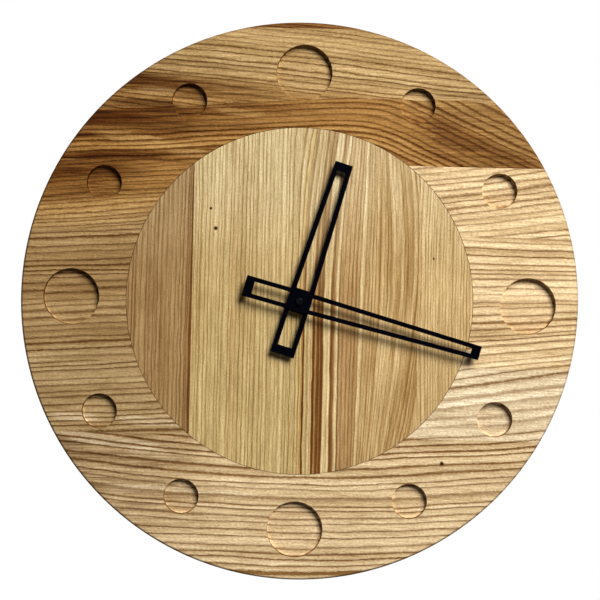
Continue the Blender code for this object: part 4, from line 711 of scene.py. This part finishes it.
def block(outline, low, high):
    """A prism between two places on Y over an outline of (x, z) points."""
    bm = bmesh.new()
    face = bm.faces.new([bm.verts.new((x, low, z)) for x, z in outline])
    moved = bmesh.ops.extrude_face_region(bm, geom=[face])["geom"]
    verts = [g for g in moved if isinstance(g, bmesh.types.BMVert)]
    bmesh.ops.translate(bm, verts=verts, vec=(0, high - low, 0))
    bmesh.ops.recalc_face_normals(bm, faces=bm.faces)
    return bm


def rounded_box(x0, x1, z0, z1, radius, steps):
    """The outline of a box in (x, z) with rounded corners."""
    corners = (((x1 - radius, z1 - radius), 0), ((x0 + radius, z1 - radius), pi / 2),
               ((x0 + radius, z0 + radius), pi), ((x1 - radius, z0 + radius), 3 * pi / 2))
    return [point for centre, start in corners for point in quarter(centre, radius, start, steps)]


def made(name, bm):
    """An object of this mesh, in the scene."""
    mesh = bpy.data.meshes.new(name)
    bm.to_mesh(mesh)
    bm.free()
    thing = bpy.data.objects.new(name, mesh)
    bpy.context.scene.collection.objects.link(thing)
    return thing


def cut(thing, tools):
    """Takes the tools out of the solid; the tools stay."""
    for tool in tools:
        modifier = thing.modifiers.new("cut", "BOOLEAN")
        modifier.operation = "DIFFERENCE"
        modifier.solver = "EXACT"
        modifier.object = tool
    finished = bpy.data.meshes.new_from_object(thing.evaluated_get(bpy.context.evaluated_depsgraph_get()))
    thing.modifiers.clear()
    thing.data = finished


def smooth(thing):
    thing.data.shade_smooth()
    thing.data.set_sharp_from_angle(angle=SMOOTH_ANGLE)
    weighted = thing.modifiers.new("flat_faces_stay_flat", "WEIGHTED_NORMAL")
    weighted.keep_sharp = True
    weighted.weight = FACE_WEIGHT


def ring_profile():
    """Half a section of the ring: from its inner radius out, round the rim and back."""
    front = quarter((DIAL_RADIUS - FRONT_ROUND, FRONT_ROUND - HALF_THICK), FRONT_ROUND, -pi / 2, 6)
    back = quarter((DIAL_RADIUS - BACK_ROUND, HALF_THICK - BACK_ROUND), BACK_ROUND, 0.0, 3)
    return [(RING_INNER, -HALF_THICK), *front, *back, (RING_INNER, HALF_THICK)]


def cylinder_profile(radius, low, high):
    """Half a section of a solid cylinder between two places on Y."""
    return [(0.0, low), (radius, low), (radius, high), (0.0, high)]


def sliced(bm, across, low, high):
    """Keeps what lies between two joints across X or Z, and closes the cut faces."""
    normal = Vector((1, 0, 0)) if across == "x" else Vector((0, 0, 1))
    for place, outer in ((low, False), (high, True)):
        if place is None:
            continue
        everything = bm.verts[:] + bm.edges[:] + bm.faces[:]
        result = bmesh.ops.bisect_plane(bm, geom=everything, plane_co=normal * place, plane_no=normal,
                                        clear_inner=not outer, clear_outer=outer, dist=1e-8)
        rim = [g for g in result["geom_cut"] if isinstance(g, bmesh.types.BMEdge)]
        bmesh.ops.holes_fill(bm, edges=rim, sides=0)
    bmesh.ops.recalc_face_normals(bm, faces=bm.faces)
    return bm


def recess_tool(hour):
    """The shape that is taken out for an hour mark: drafted walls, a filleted floor, a softened lip."""
    large = hour % 3 == 0
    radius = LARGE_RECESS if large else SMALL_RECESS
    floor = RECESS_DEPTH - HALF_THICK
    inner = radius - RECESS_DRAFT
    fillet = quarter((inner - RECESS_FILLET, floor - RECESS_FILLET), RECESS_FILLET, 0.0, 5)
    profile = [(0.0, -HALF_THICK - PROUD), (radius + RECESS_LIP + PROUD, -HALF_THICK - PROUD),
               (radius, RECESS_LIP - HALF_THICK), *fillet, (0.0, floor)]
    turn = radians(90 - 30 * hour)
    return spun(profile, 96 if large else 64, (RECESS_RING * cos(turn), RECESS_RING * sin(turn)))


def recess_tools(name):
    """One tool for all the hour marks, since none of them touches another."""
    whole = bmesh.new()
    for hour in range(12):
        one = recess_tool(hour)
        mesh = bpy.data.meshes.new("one_recess")
        one.to_mesh(mesh)
        one.free()
        whole.from_mesh(mesh)
        bpy.data.meshes.remove(mesh)
    return made(name, whole)


def room_round(node, room):
    """The box of a CAD piece with some room round it: its least and largest x, its least and largest z."""
    low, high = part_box(node)
    return low.x - room, high.x + room, low.z - room, high.z + room


def hanger_tools():
    """The seat of the keyhole plate, and the space behind it for the head of the wall screw."""
    low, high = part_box("hanger_plate")
    plate = rounded_box(*room_round("hanger_plate", PLATE_ROOM), (high.x - low.x) / 2, 8)
    space = rounded_box(*SCREW_HEAD_SPACE, SCREW_HEAD_CORNER, 4)
    return [made("plate_seat_tool", block(plate, low.y, HALF_THICK + PROUD)),
            made("screw_head_space_tool", block(space, SCREW_HEAD_FLOOR, HALF_THICK + PROUD))]


def pocket_tools():
    """The pocket for the movement, and the bore for its bush."""
    outline = rounded_box(*room_round("movement_case", POCKET_ROOM), POCKET_CORNER, 6)
    bore = spun(cylinder_profile(BORE_RADIUS, -HALF_THICK - PROUD, 0.0), 48)
    return [made("pocket_tool", block(outline, POCKET_FLOOR, HALF_THICK + PROUD)), made("bore_tool", bore)]


def boards():
    """The nine boards of the ring and the three of the centre, each cut from a turned blank."""
    levels = (None, *RING_JOINTS, None)
    rows = ("crown", "top", "upper", "middle", "lower", "bottom")
    recesses = recess_tools("recess_tool")
    hanger = hanger_tools()
    pocket = pocket_tools()
    for row, high, low in zip(rows, levels, levels[1:]):
        sides = ("left", "right") if row in ("upper", "middle", "lower") else ("",)
        for side in sides:
            bm = spun(ring_profile(), RIM_STEPS, closed=True)
            sliced(bm, "z", low, high)
            if side:
                far = [v for v in bm.verts if (v.co.x > 0) == (side == "left")]
                bmesh.ops.delete(bm, geom=far, context="VERTS")
            node = "_".join(filter(None, ("ring_board", row, side)))
            board = made("brushed_" + node, bm)
            cut(board, [recesses] + (hanger if row == "top" else []))
            finish_board(board, node)
    joints = (None, *CENTRE_JOINTS, None)
    for side, low, high in zip(("left", "middle", "right"), joints, joints[1:]):
        bm = spun(cylinder_profile(CENTRE_RADIUS, -HALF_THICK, HALF_THICK), RIM_STEPS)
        sliced(bm, "x", low, high)
        board = made("brushed_centre_board_" + side, bm)
        if side == "middle":
            cut(board, pocket)
        finish_board(board, "centre_board_" + side)
    for tool in (recesses, *hanger, *pocket):
        bpy.data.objects.remove(tool)


def finish_board(board, node):
    """Gives a board its wood, and puts it in the place of its CAD piece."""
    smooth(board)
    board.data.materials.clear()
    board.data.materials.append(ash(node, node.startswith("centre")))
    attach(board, "clock")
    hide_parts(node)


def stage_floor():
    """A pale floor below the clock that fades out towards its edges, and reflects less than it shows."""
    bm = bmesh.new()
    height = Matrix.Translation((0, 0, FLOOR_HEIGHT))
    bmesh.ops.create_grid(bm, x_segments=1, y_segments=1, size=FLOOR_REACH, matrix=height)
    floor = made("pale_floor", bm)
    finish = Finish("pale_floor_paint")
    clear = finish.span(finish.distance(finish.x, finish.y), *FLOOR_FADE, 1.0, 0.0)
    across, back, _ = finish.scaled(FLOOR_BLOTCHES)
    shade = finish.noise(across, back, 0.0)
    pale = finish.mix(finish.around(shade, NOISE_REACH), tint(246, 246, 246), tint(240, 240, 240))
    colour = finish.mix(seen_rays(finish.tree), tint(70, 70, 70), pale)
    floor.data.materials.append(finish.set(base_color=colour, roughness=0.7, alpha=clear))


def lamp(name, place, side, watts):
    """A square lamp that faces the dial's centre."""
    light = bpy.data.lights.new(name, "AREA")
    light.shape = "SQUARE"
    light.size = side
    light.energy = watts
    holder = bpy.data.objects.new(name, light)
    holder.location = place
    holder.rotation_euler = (-Vector(place)).to_track_quat("-Z", "Y").to_euler()
    bpy.context.scene.collection.objects.link(holder)


def studio():
    """The lamps, and white surroundings that light the clock much less than they are bright to look at."""
    for name, (place, side, watts) in LAMPS.items():
        lamp(name, place, side, watts)
    world = bpy.data.worlds.new("white_studio")
    bpy.context.scene.world = world
    world.use_nodes = True
    tree = world.node_tree
    tree.nodes.clear()
    output = tree.nodes.new("ShaderNodeOutputWorld")
    choice = tree.nodes.new("ShaderNodeMixShader")
    tree.links.new(seen_rays(tree), choice.inputs[0])
    for strength, socket in ((WORLD_STRENGTH, choice.inputs[1]), (1.0, choice.inputs[2])):
        background = tree.nodes.new("ShaderNodeBackground")
        background.inputs["Color"].default_value = (1.0, 1.0, 1.0, 1.0)
        background.inputs["Strength"].default_value = strength
        tree.links.new(background.outputs[0], socket)
    tree.links.new(choice.outputs[0], output.inputs["Surface"])


def camera():
    """A lens straight in front of the dial, turned a little about its own axis."""
    lens = bpy.data.cameras.new("front_camera")
    lens.sensor_width = SENSOR_WIDTH
    lens.lens = SENSOR_WIDTH * CAMERA_DISTANCE / VIEW_WIDTH
    lens.clip_start = NEAR_CLIP
    holder = bpy.data.objects.new("front_camera", lens)
    turn = Matrix.Rotation(-VIEW_ROLL, 4, "Y")
    centre = Vector((VIEW_CENTRE[0], FRONT_ROUND - HALF_THICK, VIEW_CENTRE[1]))
    holder.matrix_world = (Matrix.Translation(centre + Vector((0, -CAMERA_DISTANCE, 0))) @ turn
                           @ Matrix.Rotation(pi / 2, 4, "X"))
    bpy.context.scene.collection.objects.link(holder)
    bpy.context.scene.camera = holder


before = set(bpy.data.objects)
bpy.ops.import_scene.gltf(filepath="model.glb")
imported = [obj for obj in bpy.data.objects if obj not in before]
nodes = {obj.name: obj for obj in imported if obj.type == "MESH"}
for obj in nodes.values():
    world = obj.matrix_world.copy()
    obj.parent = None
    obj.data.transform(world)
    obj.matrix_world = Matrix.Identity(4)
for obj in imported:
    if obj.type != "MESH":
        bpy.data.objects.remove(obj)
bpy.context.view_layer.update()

boards()

black_paint = speckled("satin_black_paint", tint(1, 1, 4), tint(2, 2, 9), grain=0.35, roughness=0.5,
                       relief=0.01 * MM, specular_ior_level=0.012)
gloss_black = speckled("gloss_black_paint", tint(1, 1, 3), tint(2, 2, 5), grain=0.35, roughness=0.16,
                       relief=0.002 * MM, specular_ior_level=0.06)
plated_steel = speckled("zinc_plated_steel", tint(190, 190, 186), tint(160, 160, 158), grain=0.5,
                        roughness=0.32, relief=0.01 * MM, metallic=1.0)
brass = turned_metal("turned_brass", tint(214, 178, 98), tint(180, 140, 70), roughness=0.28)
copper = speckled("enamelled_copper", tint(190, 100, 50), tint(150, 72, 34), grain=0.2, roughness=0.35,
                  relief=0.02 * MM, metallic=0.9)
ferrite = speckled("sintered_magnet", tint(62, 62, 66), tint(44, 44, 48), grain=0.3, roughness=0.6,
                   relief=0.02 * MM)
rubber = speckled("black_rubber", tint(30, 30, 30), tint(40, 40, 40), grain=0.3, roughness=0.8,
                  relief=0.03 * MM)
black_plastic = speckled("black_moulded_plastic", tint(24, 24, 25), tint(33, 33, 34), grain=0.25,
                         roughness=0.5, relief=0.03 * MM)
white_plastic = speckled("white_acetal", tint(226, 224, 216), tint(210, 207, 198), grain=0.3, roughness=0.4,
                         relief=0.01 * MM)
board_green = speckled("green_circuit_board", tint(26, 88, 52), tint(20, 68, 42), grain=0.4, roughness=0.35,
                       relief=0.01 * MM)
sleeve = cell_sleeve("printed_cell_sleeve")

FINISHES = {
    black_paint: ("hour_hand", "minute_hand"),
    gloss_black: ("minute_hand_nut",),
    plated_steel: ("hanger_plate", "hanger_screw_upper", "hanger_screw_lower", "stator", "coil_core",
                   "quartz_crystal", "contact_positive", "contact_negative"),
    brass: ("dial_washer", "shaft_nut", "minute_arbor"),
    copper: ("coil_winding",),
    ferrite: ("rotor_magnet",),
    rubber: ("gasket",),
    black_plastic: ("movement_case", "movement_cover", "chip"),
    white_plastic: ("middle_plate", "gear_bridge", "hour_wheel", "minute_wheel", "motion_wheel",
                    "setting_knob", "third_wheel", "seconds_wheel", "reduction_wheel", "rotor",
                    "coil_bobbin"),
    board_green: ("circuit_board",),
    sleeve: ("battery",),
}
for finish, names in FINISHES.items():
    for name in names:
        nodes[name].data.materials.clear()
        nodes[name].data.materials.append(finish)

stage_floor()
studio()
camera()
bpy.context.scene.view_settings.view_transform = "Standard"
